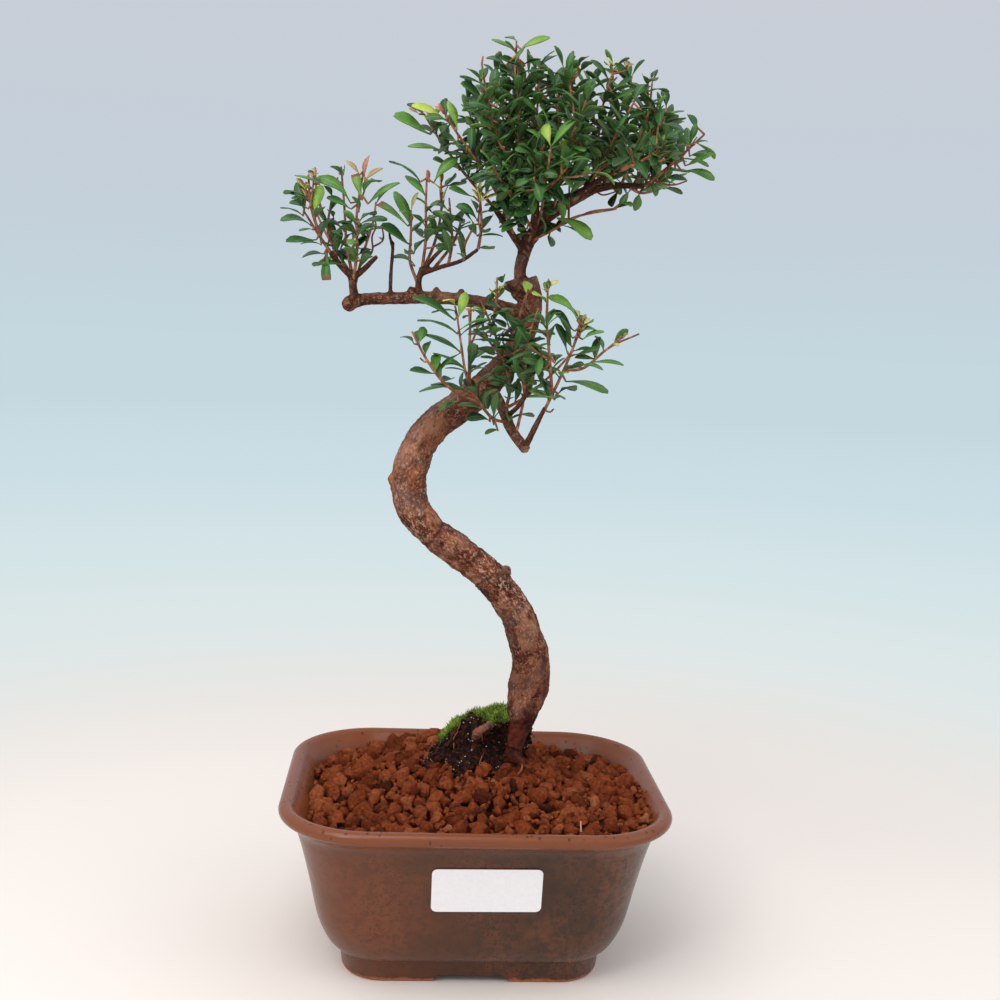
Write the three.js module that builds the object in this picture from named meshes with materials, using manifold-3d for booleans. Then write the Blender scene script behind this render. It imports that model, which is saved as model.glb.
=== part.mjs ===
// Syzygium bonsai in a glazed pot: an S-bent trunk that carries a left branch with two small pads,
// a low pad in front and a dense crown. Millimetres, +Z up, +X to the right along the pot's long side,
// +Y away from the viewer. Every place below is measured from the pot's centre on the table.
import * as THREE from "three";
import { mergeVertices } from "three/addons/utils/BufferGeometryUtils.js";
import Module from "manifold-3d";

const wasm = await Module();
wasm.setup();

// Clearance between pieces that touch on the real plant.
const GAP = 0.3;

// Pot: outside size at the lip, corner radius there, and how the corner shrinks as the wall leans in.
const POT_LENGTH = 170;
const POT_DEPTH = 144.4;
const POT_CORNER = 38.8;
const CORNER_SHRINK = 0.72;
const CORNER_STEPS = 4;
// Height and inset from the lip, foot first, then the bowl, the crease and the rolled lip.
const POT_OUTSIDE = [
  [0, 29.2], [1.2, 28.4], [9.5, 27.6], [10.6, 25.6], [16, 21.4], [26, 17.2], [42, 13.7], [57, 10.1],
  [67, 6.8], [71.2, 2.2], [73.6, 0], [76.2, 0.8], [77.4, 3.4],
];
const POT_INSIDE = [
  [12, 34], [20, 25], [57, 15.4], [69, 10.8], [75.2, 6.4], [77.4, 3.8],
];
const POT_HEIGHT = 77.4;
const POT_FLOOR = 12;
const FOOT_RECESS_INSET = 37;
const FOOT_RECESS_DEPTH = 4;
const FOOT_NOTCH = { width: 34, height: 3.6 };
const DRAIN_HOLE = { radius: 8.5, x: 25 };
const DRAIN_MESH = { side: 27, thickness: 1.5, bar: 2.4, cells: 2 };

// Sticker on the front wall.
const LABEL = { length: 46, height: 20.6, x: 4, z: 49.6, corner: 2.2, thickness: 0.6 };

// Akadama soil: level at the walls, how far it rises to the right, the mound round the trunk, and the
// granules as relief.
const SOIL_LEVEL = 66.5;
const SOIL_TILT = 0.04;
const SOIL_MOUND = { x: 2, y: 20, rise: 17, spreadX: 38, spreadY: 45 };
const GRAIN_PITCH = 12.2;
const GRAIN_RISE = 4.4;
const GRAIN_JITTER = 0.3;

// Root ball of old humus, and the moss on its upper left.
const ROOT_BALL = { centre: [3, 6, 70], radii: [30, 26, 33], lumps: 0.05 };
const MOSS = { centre: [0, 9, 82], radii: [21.5, 19, 29], lumps: 0.06 };

// Leaves: width and arch as shares of the length, thickness of the blade, and how far the two leaves
// of a pair stand apart along the shoot.
const LEAF_WIDTH = 0.43;
const LEAF_THICKNESS = 0.65;
const LEAF_ARCH = 0.07;
const PAIR_STAGGER = 2.2;
const LEAF_CLEARANCE = 2;
const SEED_STEP = 7919;
const STEM_CLEARANCE = 1.1;
// Turns about the stem, in radians, that a leaf tries in order until it is clear of its neighbours.
const LEAF_TURNS = [0, 0.4, -0.4, 0.8, -0.8];

// The wood. Each limb lists the points of its centre line and its radius at each of them.
const LIMBS = {
  trunk: {
    points: [
      [20, -13, 74], [20, -11, 84], [20, -8, 92], [21, -3, 99], [22, 2, 107], [24, 7, 117],
      [25, 9, 130], [22, 9, 139], [17, 8, 152], [3, 4, 170], [-12, 0, 182], [-24, -2, 191],
      [-31, -3, 199], [-34, -3, 208], [-34, -3, 216], [-32, -2, 224], [-28, -1, 232],
      [-22, 1, 239], [-14, 3, 245], [-2, 7, 255], [7, 10, 265], [13, 12, 275], [16.5, 12, 284],
      [17, 12, 293], [14, 12, 301],
    ],
    radii: [
      4, 4, 4, 5.2, 7.6, 9, 8.2, 8.4, 7.6, 7.4, 7.3, 7, 7.4, 7.8, 8, 7.6, 7.4, 7.3, 7.2, 6.6, 5.8,
      5.3, 5, 5.4, 6,
    ],
    sides: 8,
  },
  cutRoot: { points: [[18, 1, 106], [8, -10, 103], [0, -17, 97]], radii: [3.4, 2.6, 2.2], sides: 5 },
  leader: {
    points: [[15, 12, 296], [12, 12, 305], [13, 12, 313], [16, 12, 323]],
    radii: [3, 2.8, 2.9, 3.2],
    sides: 6,
  },
  left: {
    points: [
      [18, 12, 286], [6, 11, 290], [-6, 9, 292], [-23, 5, 293], [-41, 2, 292], [-54, 0, 291],
      [-63, -2, 289],
    ],
    radii: [3.4, 3, 2.8, 2.8, 2.7, 2.7, 2.9],
    sides: 6,
  },
  low: {
    points: [[-1, 7, 255], [4, -5, 249], [9, -16, 238], [15, -24, 230]],
    radii: [3, 2.4, 2.3, 2.3],
    sides: 6,
  },
  top: {
    points: [[16, 12, 321], [22, 11, 330], [28, 10, 335], [34, 9, 339], [41, 8, 343]],
    radii: [3.3, 3.1, 3, 2.9, 2.6],
    sides: 6,
  },
  topRight: { points: [[39, 8, 342], [51, 6, 345], [64, 2, 345]], radii: [2, 1.6, 1.2], sides: 5 },
  topBack: {
    points: [[21, 11, 329], [24, 23, 340], [30, 33, 352]],
    radii: [1.9, 1.5, 1.2],
    sides: 5,
  },
  backLeft: {
    points: [[15, 12, 319], [9, 22, 333], [2, 31, 346]],
    radii: [1.8, 1.4, 1.2],
    sides: 5,
  },
  topLeft: { points: [[14, 12, 314], [7, 10, 323], [-1, 7, 333]], radii: [1.9, 1.6, 1.3], sides: 5 },
  topFront: {
    points: [[16, 11, 320], [17, 0, 328], [16, -9, 338]],
    radii: [1.8, 1.4, 1.2],
    sides: 5,
  },
  frontRight: {
    points: [[32, 9, 338], [40, -3, 344], [48, -12, 348]],
    radii: [1.7, 1.4, 1.1],
    sides: 5,
  },
  leftPad: {
    points: [[-60, -2, 288], [-61, -3, 296], [-62, -3, 303]],
    radii: [2.2, 1.9, 1.7],
    sides: 5,
  },
  leftPadOuter: {
    points: [[-61.5, -3, 300], [-67, -5, 305], [-71, -7, 310]],
    radii: [1.7, 1.4, 1.2],
    sides: 5,
  },
  leftPadInner: {
    points: [[-61.5, -3, 299], [-56, -5, 304], [-51, -8, 309]],
    radii: [1.5, 1.3, 1],
    sides: 5,
  },
  middlePad: {
    points: [[-32, 4, 292], [-33, 4, 299], [-31.5, 3, 306]],
    radii: [1.9, 1.5, 1.3],
    sides: 5,
  },
  middlePadArm: {
    points: [[-32, 3.5, 303], [-24, 1, 306], [-15, -4, 309], [-8, -8, 314]],
    radii: [1.3, 1.1, 1, 0.9],
    sides: 5,
  },
  middleStub: {
    points: [[-31, 3, 305], [-26, 0, 311], [-22, -2, 315]],
    radii: [1.1, 1, 0.9],
    sides: 5,
  },
  deadTwig: {
    points: [[-45, 2, 290], [-45, 2, 303], [-44.5, 2, 316]],
    radii: [1, 0.9, 0.8],
    sides: 4,
  },
  deadTwigFork: {
    points: [[-44.6, 2, 313], [-46, 2, 318], [-46.5, 2, 321]],
    radii: [0.8, 0.7, 0.6],
    sides: 4,
  },
  lowStub: {
    points: [[7, -12, 243], [11, -20, 248], [15, -24, 255]],
    radii: [1.3, 1.1, 1],
    sides: 5,
  },
};

// Cut knobs, the bump and the bud stubs: where each sits, its radii and how finely it is split.
const KNOBS = [
  [[14, 12, 299], [7.4, 6.6, 5], 1],
  [[-62, -2, 289], [4, 3.6, 3.9], 0],
  [[-41, -3, 213], [2.6, 3, 3.4], 0],
  [[11, 3, 173], [3.4, 4, 3.4], 0],
  [[16, 3, 112], [5.4, 6, 5.6], 0],
  [[-36, 2, 295], [1.9, 1.8, 2.6], 0],
  [[-25, 5, 295.5], [1.8, 1.8, 2.4], 0],
  [[-14, 7, 295.5], [1.8, 1.8, 2.2], 0],
  [[-1, 10, 294], [1.8, 1.8, 2.2], 0],
];

// Sprays. Each shoot says what carries it, how far along, the points that it passes, then its leaves:
// pairs, the length of a leaf, and where along the shoot the leaves begin. A later shoot of the same
// spray grows from an earlier one, named by its number in the spray.
const SPRAYS = {
  left_spray: [
    [
      ["leftPadOuter", 1, [[-76, -9, 317], [-82, -12, 326]], 3, 15.5, 0.3],
      [0, 0.35, [[-79, -13, 328], [-80.5, -12, 341]], 2, 9, 0.5],
    ],
    [
      ["leftPadOuter", 0.55, [[-70.5, 1, 313], [-73, 6, 322], [-72, 8, 333]], 3, 12, 0.4],
      [0, 0.55, [[-78, 5, 335], [-79, 4, 346]], 2, 8, 0.5],
    ],
    [["leftPad", 1, [[-64.5, 0, 314], [-66, 4, 329], [-68, 5, 347]], 4, 12, 0.35]],
    [["leftPad", 0.6, [[-59.5, -9, 311], [-60, -9, 327], [-57, -8, 349]], 4, 14, 0.3]],
    [["leftPad", 0.85, [[-67, 7, 308], [-75, 16, 320], [-80, 20, 330]], 3, 12, 0.35]],
    [["leftPad", 0.42, [[-57.5, 9, 311], [-54, 16, 325], [-53, 18, 334]], 3, 12, 0.4]],
  ],
  middle_spray: [
    [["middlePad", 0.42, [[-37, 2, 308], [-37, 0, 317], [-37, -1, 325]], 2, 14, 0.45]],
    [["middlePad", 1, [[-30.5, 0, 318], [-31, -3, 332], [-31, -4, 346]], 4, 12, 0.35]],
    [["middlePad", 0.7, [[-26.5, 10, 317], [-24, 14, 333], [-25, 15, 347]], 3, 12.5, 0.4]],
    [["middlePadArm", 0.45, [[-19, 3, 318], [-21, 4, 336]], 2, 12.5, 0.35]],
    [["middlePadArm", 0.75, [[-14, -9, 315], [-11, -12, 322]], 2, 11.5, 0.6]],
    [["middlePadArm", 1, [[-7, -7, 324], [-8, -6, 336]], 3, 11.5, 0.25]],
    [["middlePadArm", 0.2, [[-18, 12, 318], [-14, 19, 332]], 2, 12.5, 0.4]],
  ],
  low_spray: [
    [
      ["low", 0.96, [[21, -28, 246], [28, -31, 263], [33, -29, 276], [37, -27, 288]], 4, 12.5, 0.45],
      [0, 0.6, [[37, -32, 266], [48, -28, 275], [61, -22, 281]], 3, 12.5, 0.3],
      [0, 0.42, [[22, -35, 270], [20, -36, 285], [20, -35, 296]], 3, 9, 0.4],
    ],
    [
      ["low", 0.62, [[-1, -26, 244], [-11, -37, 258], [-15, -42, 274], [-17, -43, 285]], 5, 13, 0.35],
      [0, 0.38, [[-19, -44, 256], [-28, -48, 266], [-35, -46, 278]], 4, 12, 0.35],
      [0, 0.55, [[-11, -31, 274], [-11, -27, 289]], 3, 11.5, 0.35],
    ],
    [
      ["low", 0.5, [[8, -9, 257], [2, -9, 275], [-7, -12, 294]], 4, 11.5, 0.3],
      [0, 0.72, [[0, -17, 291], [0, -18, 302]], 2, 8, 0.5],
    ],
    [
      ["low", 0.8, [[14, -15, 253], [14, -17, 274], [18, -19, 290]], 4, 11.5, 0.3],
      [0, 0.35, [[10, -11, 280], [14, -12, 298]], 2, 12, 0.5],
    ],
    [["low", 0.88, [[22, -17, 247], [30, -8, 260], [36, -3, 273]], 3, 11.5, 0.35]],
  ],
  crown_spray: [
    [["topLeft", 1, [[-15, 4, 347], [-26, 2, 360], [-33, 0, 370]], 4, 13, 0.3]],
    [["topLeft", 0.35, [[1, 1, 336], [-10, -5, 351], [-20, -9, 363], [-27, -10, 373]], 4, 12, 0.3]],
    [
      ["topFront", 0.45, [[8, -7, 346], [-2, -13, 360], [-7, -16, 375], [-10, -16, 389]], 5, 12.5, 0.25],
      [0, 0.28, [[7, -3, 370], [6, -2, 396]], 3, 12.5, 0.45],
    ],
    [["topFront", 0.6, [[14, -12, 346], [17, -23, 357]], 2, 12, 0.3]],
    [["topFront", 0.25, [[6, -12, 335], [-4, -26, 346]], 3, 12, 0.4]],
    [["topFront", 1, [[21, -18, 341], [26, -30, 347]], 3, 12, 0.3]],
    [["topLeft", 0.75, [[8, 9, 352], [2, 6, 373], [0, 4, 386]], 3, 12.5, 0.3]],
    [["leader", 0.93, [[17, 6, 345], [15.5, 1, 368], [15, -2, 391]], 4, 12.5, 0.35]],
    [["topBack", 0.5, [[28, 17, 362], [26, 20, 380], [28, 22, 397]], 3, 12.5, 0.3]],
    [["topBack", 0.72, [[21, 25, 360], [14, 27, 378], [10, 28, 393]], 3, 12.5, 0.3]],
    [["topBack", 1, [[35, 37, 372], [43, 40, 393]], 3, 12.5, 0.3]],
    [["topBack", 0.86, [[43, 37, 357], [56, 44, 367]], 3, 12.5, 0.3]],
    [["backLeft", 0.5, [[6, 23, 348], [-2, 28, 366], [-9, 30, 382]], 3, 12.5, 0.3]],
    [["backLeft", 1, [[-6, 40, 362], [-12, 44, 378]], 3, 12.5, 0.3]],
    [["backLeft", 0.82, [[15, 38, 352], [21, 46, 366], [23, 48, 381]], 3, 12.5, 0.3]],
    [["top", 0.99, [[43, 8, 360], [44, 6, 377], [48, 6, 394]], 3, 12.5, 0.3]],
    [["top", 0.78, [[35, 1, 354], [31, -5, 371], [28, -6, 385]], 3, 12.5, 0.3]],
    [["top", 0.45, [[26, -3, 344], [27, -18, 356], [33, -26, 375]], 4, 12.5, 0.3]],
    [["topRight", 0.25, [[52, 18, 353], [66, 30, 366], [78, 35, 378]], 3, 12.5, 0.3]],
    [["topRight", 0.42, [[53, 13, 361], [57, 18, 378], [58, 18, 394]], 3, 12.5, 0.3]],
    [["topRight", 0.6, [[58, -4, 359], [62, -8, 374], [63, -8, 387]], 4, 12.5, 0.3]],
    [["topRight", 0.8, [[69, 8, 362], [73, 10, 380]], 4, 12.5, 0.3]],
    [["topRight", 1, [[76, -4, 356], [87, -7, 367]], 3, 14, 0.2]],
    [["topRight", 0.7, [[65, 11, 343], [78, 20, 348]], 3, 12, 0.3]],
    [["frontRight", 0.5, [[45, -13, 357], [54, -20, 377]], 3, 12.5, 0.3]],
    [["frontRight", 1, [[55, -22, 351], [64, -28, 356]], 3, 12, 0.2]],
    [["leader", 0.86, [[24, 0, 324], [34, -4, 330], [51, -6, 334]], 2, 12, 0.3]],
  ],
};
const SHOOT_RADIUS = { base: 1.3, tip: 0.95 };
const SHOOT_SIDES = 3;
const SHOOT_STEP = 13;
const LIMB_STEP = 12;

const COLOURS = {
  pot: 0x6a4636,
  soil: 0x8a4526,
  rootBall: 0x2a1c16,
  moss: 0x6f9a35,
  wood: 0x8a6049,
  leaves: 0x2f6a28,
  label: 0xefebe4,
  plastic: 0x23282a,
};

// A seeded draw between 0 and 1, the same on every run.
function drawsFrom(seed) {
  let state = seed;
  return () => {
    state = (state * 16807) % 2147483647;
    return state / 2147483647;
  };
}

// A closed geometry as a solid, and a solid as a named mesh.
function solidOf(geometry) {
  const bare = geometry.clone();
  bare.deleteAttribute("normal");
  bare.deleteAttribute("uv");
  const merged = mergeVertices(bare, 1e-4);
  return new wasm.Manifold(
    new wasm.Mesh({
      numProp: 3,
      vertProperties: new Float32Array(merged.attributes.position.array),
      triVerts: new Uint32Array(merged.index.array),
    }),
  );
}

function meshOf(name, solid, colour, roughness) {
  const data = solid.getMesh();
  const geometry = new THREE.BufferGeometry();
  geometry.setAttribute("position", new THREE.BufferAttribute(new Float32Array(data.vertProperties), 3));
  geometry.setIndex(new THREE.BufferAttribute(new Uint32Array(data.triVerts), 1));
  geometry.computeVertexNormals();
  const material = new THREE.MeshStandardMaterial({ color: colour, roughness, metalness: 0 });
  const mesh = new THREE.Mesh(geometry, material);
  mesh.name = name;
  return mesh;
}

// The largest body of a solid that a cut has left in several.
function largestBody(solid) {
  return solid.decompose().reduce((a, b) => (a.volume() > b.volume() ? a : b));
}

// A closed skin over rings of points, with a fan from the middle of each end ring.
function skinOver(rings) {
  const count = rings[0].length;
  const positions = rings.flat().flatMap((p) => [p.x, p.y, p.z]);
  const index = [];
  for (let r = 0; r < rings.length - 1; r++) {
    for (let i = 0; i < count; i++) {
      const a = r * count + i;
      const b = r * count + ((i + 1) % count);
      index.push(a, b, b + count, a, b + count, a + count);
    }
  }
  [rings[0], rings[rings.length - 1]].forEach((ring, end) => {
    const middle = ring.reduce((sum, p) => sum.add(p), new THREE.Vector3()).divideScalar(count);
    const centre = positions.length / 3;
    const first = end === 0 ? 0 : (rings.length - 1) * count;
    positions.push(middle.x, middle.y, middle.z);
    for (let i = 0; i < count; i++) {
      const a = first + i;
      const b = first + ((i + 1) % count);
      if (end === 0) index.push(centre, b, a);
      else index.push(centre, a, b);
    }
  });
  const geometry = new THREE.BufferGeometry();
  geometry.setAttribute("position", new THREE.Float32BufferAttribute(positions, 3));
  geometry.setIndex(index);
  return geometry;
}

// One level of the pot: a rounded rectangle, drawn in from the lip by the inset.
function potRing(height, inset) {
  const radius = POT_CORNER - CORNER_SHRINK * inset;
  const corners = [[1, 1], [-1, 1], [-1, -1], [1, -1]];
  return corners.flatMap(([sx, sy], quarter) =>
    Array.from({ length: CORNER_STEPS + 1 }, (_, k) => {
      const angle = ((quarter + k / CORNER_STEPS) * Math.PI) / 2;
      const x = sx * (POT_LENGTH / 2 - inset - radius) + radius * Math.cos(angle);
      const y = sy * (POT_DEPTH / 2 - inset - radius) + radius * Math.sin(angle);
      return new THREE.Vector3(x, y, height);
    }),
  );
}

function potLoft(levels) {
  return solidOf(skinOver(levels.map(([height, inset]) => potRing(height, inset))));
}

function box(width, depth, height, x, y, z) {
  return solidOf(new THREE.BoxGeometry(width, depth, height).translate(x, y, z));
}

function makePot() {
  const mouth = [...POT_INSIDE, [POT_HEIGHT + 3, POT_INSIDE.at(-1)[1]]];
  const recess = [[-1, FOOT_RECESS_INSET], [FOOT_RECESS_DEPTH, FOOT_RECESS_INSET]];
  const notch = box(FOOT_NOTCH.width, POT_DEPTH, 2 * FOOT_NOTCH.height, 0, 0, 0);
  let pot = potLoft(POT_OUTSIDE).subtract(potLoft(mouth)).subtract(potLoft(recess)).subtract(notch);
  for (const x of [-DRAIN_HOLE.x, DRAIN_HOLE.x]) {
    const hole = new THREE.CylinderGeometry(DRAIN_HOLE.radius, DRAIN_HOLE.radius, 4 * POT_FLOOR, 12);
    pot = pot.subtract(solidOf(hole.rotateX(Math.PI / 2).translate(x, 0, 0)));
  }
  return pot;
}

// A square of plastic mesh, flat on the pot's floor over a drain hole.
function makeDrainMesh(x) {
  const { side, thickness, bar, cells } = DRAIN_MESH;
  const level = POT_FLOOR + GAP + thickness / 2;
  const pitch = (side - bar) / cells;
  const middle = (k) => (k - (cells - 1) / 2) * pitch;
  let sheet = box(side, side, thickness, x, 0, level);
  for (let i = 0; i < cells; i++) {
    for (let j = 0; j < cells; j++) {
      const opening = box(pitch - bar, pitch - bar, 2 * thickness, x + middle(i), middle(j), level);
      sheet = sheet.subtract(opening);
    }
  }
  return sheet;
}

// The sticker follows the lean of the front wall.
function makeLabel() {
  const { length, height, corner, thickness, x, z } = LABEL;
  const shift = (levels, out) => levels.map(([level, inset]) => [level, inset - out]);
  const wall = POT_OUTSIDE.filter(([level]) => level > POT_FLOOR && level < 69);
  const skin = potLoft(shift(wall, GAP + thickness)).subtract(potLoft(shift(wall, GAP)));
  const w = length / 2 - corner;
  const h = height / 2 - corner;
  const outline = new THREE.Shape();
  outline.absarc(w, h, corner, 0, Math.PI / 2);
  outline.absarc(-w, h, corner, Math.PI / 2, Math.PI);
  outline.absarc(-w, -h, corner, Math.PI, 1.5 * Math.PI);
  outline.absarc(w, -h, corner, 1.5 * Math.PI, 2 * Math.PI);
  const settings = { depth: POT_DEPTH, bevelEnabled: false, curveSegments: 2 };
  const cutter = new THREE.ExtrudeGeometry(outline, settings).rotateX(Math.PI / 2).translate(x, 0, z);
  return skin.intersect(solidOf(cutter));
}

function soilLevelAt(x, y) {
  const across = (x - SOIL_MOUND.x) / SOIL_MOUND.spreadX;
  const along = (y - SOIL_MOUND.y) / SOIL_MOUND.spreadY;
  const mound = SOIL_MOUND.rise * Math.exp(-(across * across + along * along) / 2);
  return SOIL_LEVEL + SOIL_TILT * x + mound;
}

// Granules as relief: a triangular net whose every third point is the top of a granule.
function makeSoilBlock() {
  const spacing = GRAIN_PITCH / Math.sqrt(3);
  const rowSpacing = (spacing * Math.sqrt(3)) / 2;
  const rows = Math.ceil(POT_DEPTH / rowSpacing);
  const columns = Math.ceil((POT_LENGTH + (rows * spacing) / 2) / spacing);
  const net = new THREE.BoxGeometry(columns, rows, 2, columns, rows, 1);
  const merged = mergeVertices(net.deleteAttribute("normal").deleteAttribute("uv"), 1e-4);
  const place = merged.attributes.position;
  const draw = drawsFrom(4711);
  for (let k = 0; k < place.count; k++) {
    const column = Math.round(place.getX(k) + columns / 2);
    const row = Math.round(rows / 2 - place.getY(k));
    const x = (column - columns / 2 + (row - rows / 2) / 2 + GRAIN_JITTER * (draw() - 0.5)) * spacing;
    const y = (rows / 2 - row + GRAIN_JITTER * (draw() - 0.5)) * rowSpacing;
    const top = (column - row + 3 * rows) % 3 === 0;
    const relief = top ? GRAIN_RISE * (0.55 + 0.7 * draw()) : -1.4 * draw();
    place.setXYZ(k, x, y, place.getZ(k) > 0 ? soilLevelAt(x, y) + relief : 0);
  }
  return solidOf(merged);
}

function makeSoil(rooms) {
  const bowl = POT_INSIDE.slice(0, -1).map(([level, inset]) => [level, inset + GAP]);
  bowl[0][0] += GAP;
  bowl.push([SOIL_LEVEL + SOIL_MOUND.rise + 2 * GRAIN_RISE, bowl.at(-1)[1]]);
  let soil = rooms.reduce((a, b) => a.subtract(b), potLoft(bowl).intersect(makeSoilBlock()));
  const room = DRAIN_MESH.side + 2 * GAP;
  const height = 2 * (DRAIN_MESH.thickness + 2 * GAP);
  for (const x of [-DRAIN_HOLE.x, DRAIN_HOLE.x]) {
    soil = soil.subtract(box(room, room, height, x, 0, POT_FLOOR));
  }
  return largestBody(soil);
}

// A lumpy ball: an icosphere whose radius swells and shrinks by a few waves.
function lump({ centre, radii, lumps }, detail, grow = 0) {
  const ball = new THREE.IcosahedronGeometry(1, detail);
  const place = ball.attributes.position;
  for (let k = 0; k < place.count; k++) {
    const v = new THREE.Vector3().fromBufferAttribute(place, k);
    const wave = Math.sin(7 * v.x + 3 * v.z) + Math.sin(6 * v.y - 5 * v.x) + Math.sin(9 * v.z + 4 * v.y);
    const swell = 1 + (lumps * wave) / 3;
    place.setXYZ(
      k,
      centre[0] + v.x * (radii[0] * swell + grow),
      centre[1] + v.y * (radii[1] * swell + grow),
      centre[2] + v.z * (radii[2] * swell + grow),
    );
  }
  return solidOf(ball);
}

function curveThrough(points) {
  const places = points.map((p) => (p.isVector3 ? p : new THREE.Vector3(...p)));
  return new THREE.CatmullRomCurve3(places, false, "catmullrom", 0.5);
}

function stepsOf(curve, step) {
  return Math.max(2, Math.round(curve.getLength() / step));
}

// A tapered round stem along a curve. Growing it makes the room that its neighbours leave free.
function stem(curve, radii, sides, step, roughness = 0, grow = 0) {
  const steps = stepsOf(curve, step);
  const frames = curve.computeFrenetFrames(steps, false);
  const rings = [];
  for (let s = 0; s <= steps; s++) {
    const centre = curve.getPointAt(s / steps);
    if (s === 0) centre.addScaledVector(frames.tangents[0], -grow);
    if (s === steps) centre.addScaledVector(frames.tangents[steps], grow);
    const along = curve.getUtoTmapping(s / steps) * (radii.length - 1);
    const k = Math.min(Math.floor(along), radii.length - 2);
    const radius = radii[k] + (radii[k + 1] - radii[k]) * (along - k);
    const ring = [];
    for (let i = 0; i < sides; i++) {
      const angle = (2 * Math.PI * i) / sides;
      const bark = 1 + roughness * Math.sin(5 * angle + 1.7 * s) * Math.cos(2.3 * s + i);
      const reach = radius * bark + grow;
      ring.push(
        centre
          .clone()
          .addScaledVector(frames.normals[s], reach * Math.cos(angle))
          .addScaledVector(frames.binormals[s], reach * Math.sin(angle)),
      );
    }
    rings.push(ring);
  }
  return solidOf(skinOver(rings));
}

const limbCurves = {};
for (const [name, { points }] of Object.entries(LIMBS)) {
  limbCurves[name] = curveThrough(points);
}

function makeWood(grow) {
  const knobs = KNOBS.map(([centre, radii, detail]) => lump({ centre, radii, lumps: 0.08 }, detail, grow));
  const limbs = Object.entries(LIMBS).map(([name, { radii, sides }]) =>
    stem(limbCurves[name], radii, sides, LIMB_STEP, name === "trunk" ? 0.07 : 0.04, grow),
  );
  return [...limbs, ...knobs].reduce((a, b) => a.add(b));
}

// A point on the straight stretches between a shoot's rings, where its leaves are rooted.
function axisPoint(curve, along) {
  const steps = stepsOf(curve, SHOOT_STEP);
  const k = Math.min(Math.floor(along * steps), steps - 1);
  return curve.getPointAt(k / steps).lerp(curve.getPointAt((k + 1) / steps), along * steps - k);
}

// Where a leaf grows: its foot, the way it points and the way its upper face looks.
function leafFrame(curve, along, angle, lift, length, droop) {
  const foot = axisPoint(curve, along);
  const up = curve.getTangentAt(along);
  const side = new THREE.Vector3().crossVectors(up, new THREE.Vector3(0, 1, 0)).normalize();
  const front = new THREE.Vector3().crossVectors(up, side);
  const out = side.multiplyScalar(Math.cos(angle)).addScaledVector(front, Math.sin(angle));
  const way = out.addScaledVector(up, lift);
  way.z -= droop;
  way.normalize();
  const face = up.clone().multiplyScalar(0.5);
  face.z += 0.6;
  face.addScaledVector(way, -face.dot(way)).normalize();
  return { foot, way, face, side: new THREE.Vector3().crossVectors(way, face), length };
}

// A point of the blade: along and across as shares of its length, height over its plane in millimetres.
function onLeaf({ foot, way, face, side, length }, along, across, height) {
  return foot
    .clone()
    .addScaledVector(way, along * length)
    .addScaledVector(side, across * length)
    .addScaledVector(face, height);
}

// A closed blade of even thickness with a blunt tip, arched along its length.
function blade(frame, extra = 0) {
  const wide = LEAF_WIDTH / 2 + extra / frame.length;
  const arch = LEAF_ARCH * frame.length;
  const outline = [
    [0, 0, 0],
    [0.62, -wide, arch],
    [0.98, -0.42 * wide, -arch],
    [0.98, 0.42 * wide, -arch],
    [0.62, wide, arch],
  ];
  const layer = (level) => outline.map(([a, b, h]) => onLeaf(frame, a, b, h + level));
  const thick = LEAF_THICKNESS / 2 + extra;
  const positions = [...layer(thick), ...layer(-thick)].flatMap((p) => [p.x, p.y, p.z]);
  const facets = [[0, 4, 1], [1, 4, 2], [4, 3, 2]];
  const index = facets.flatMap(([a, b, c]) => [a, b, c, a + 5, c + 5, b + 5]);
  for (let i = 0; i < 5; i++) {
    const j = (i + 1) % 5;
    index.push(i, j + 5, i + 5, i, j, j + 5);
  }
  const geometry = new THREE.BufferGeometry();
  geometry.setAttribute("position", new THREE.Float32BufferAttribute(positions, 3));
  geometry.setIndex(index);
  return solidOf(geometry);
}

// Points that stand for a blade, and for a stem, when their distances are compared.
function leafPoints(frame) {
  const half = LEAF_WIDTH / 2;
  return [[0.4, 0], [0.7, 0], [1, 0], [0.65, half], [0.65, -half]].map(([a, b]) => onLeaf(frame, a, b, 0));
}

function stemPoints(curve, radii) {
  const count = Math.ceil(curve.getLength() / 2.5);
  return Array.from({ length: count + 1 }, (_, k) => {
    const along = (k / count) * (radii.length - 1);
    const i = Math.min(Math.floor(along), radii.length - 2);
    const radius = radii[i] + (radii[i + 1] - radii[i]) * (along - i);
    return { place: curve.getPoint(k / count), reach: radius + STEM_CLEARANCE };
  });
}

function boxesMeet(a, b) {
  return [0, 1, 2].every((k) => a.min[k] < b.max[k] && b.min[k] < a.max[k]);
}

// The shoots of every spray, each cut clear of the wood that carries it.
function makeShoots(woodRoom) {
  const radii = [SHOOT_RADIUS.base, SHOOT_RADIUS.tip];
  const sprays = [];
  for (const [region, list] of Object.entries(SPRAYS)) {
    list.forEach((shoots, number) => {
      const curves = [];
      for (const [carrier, at, points] of shoots) {
        const parent = typeof carrier === "string" ? limbCurves[carrier] : curves[carrier];
        curves.push(curveThrough([parent.getPointAt(at), ...points]));
      }
      const twigs = curves.map((curve) => stem(curve, radii, SHOOT_SIDES, SHOOT_STEP));
      const solid = largestBody(twigs.reduce((a, b) => a.add(b)).subtract(woodRoom));
      sprays.push({ name: region + "_" + (number + 1), shoots, curves, radii, solid });
    });
  }
  return sprays;
}

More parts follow.
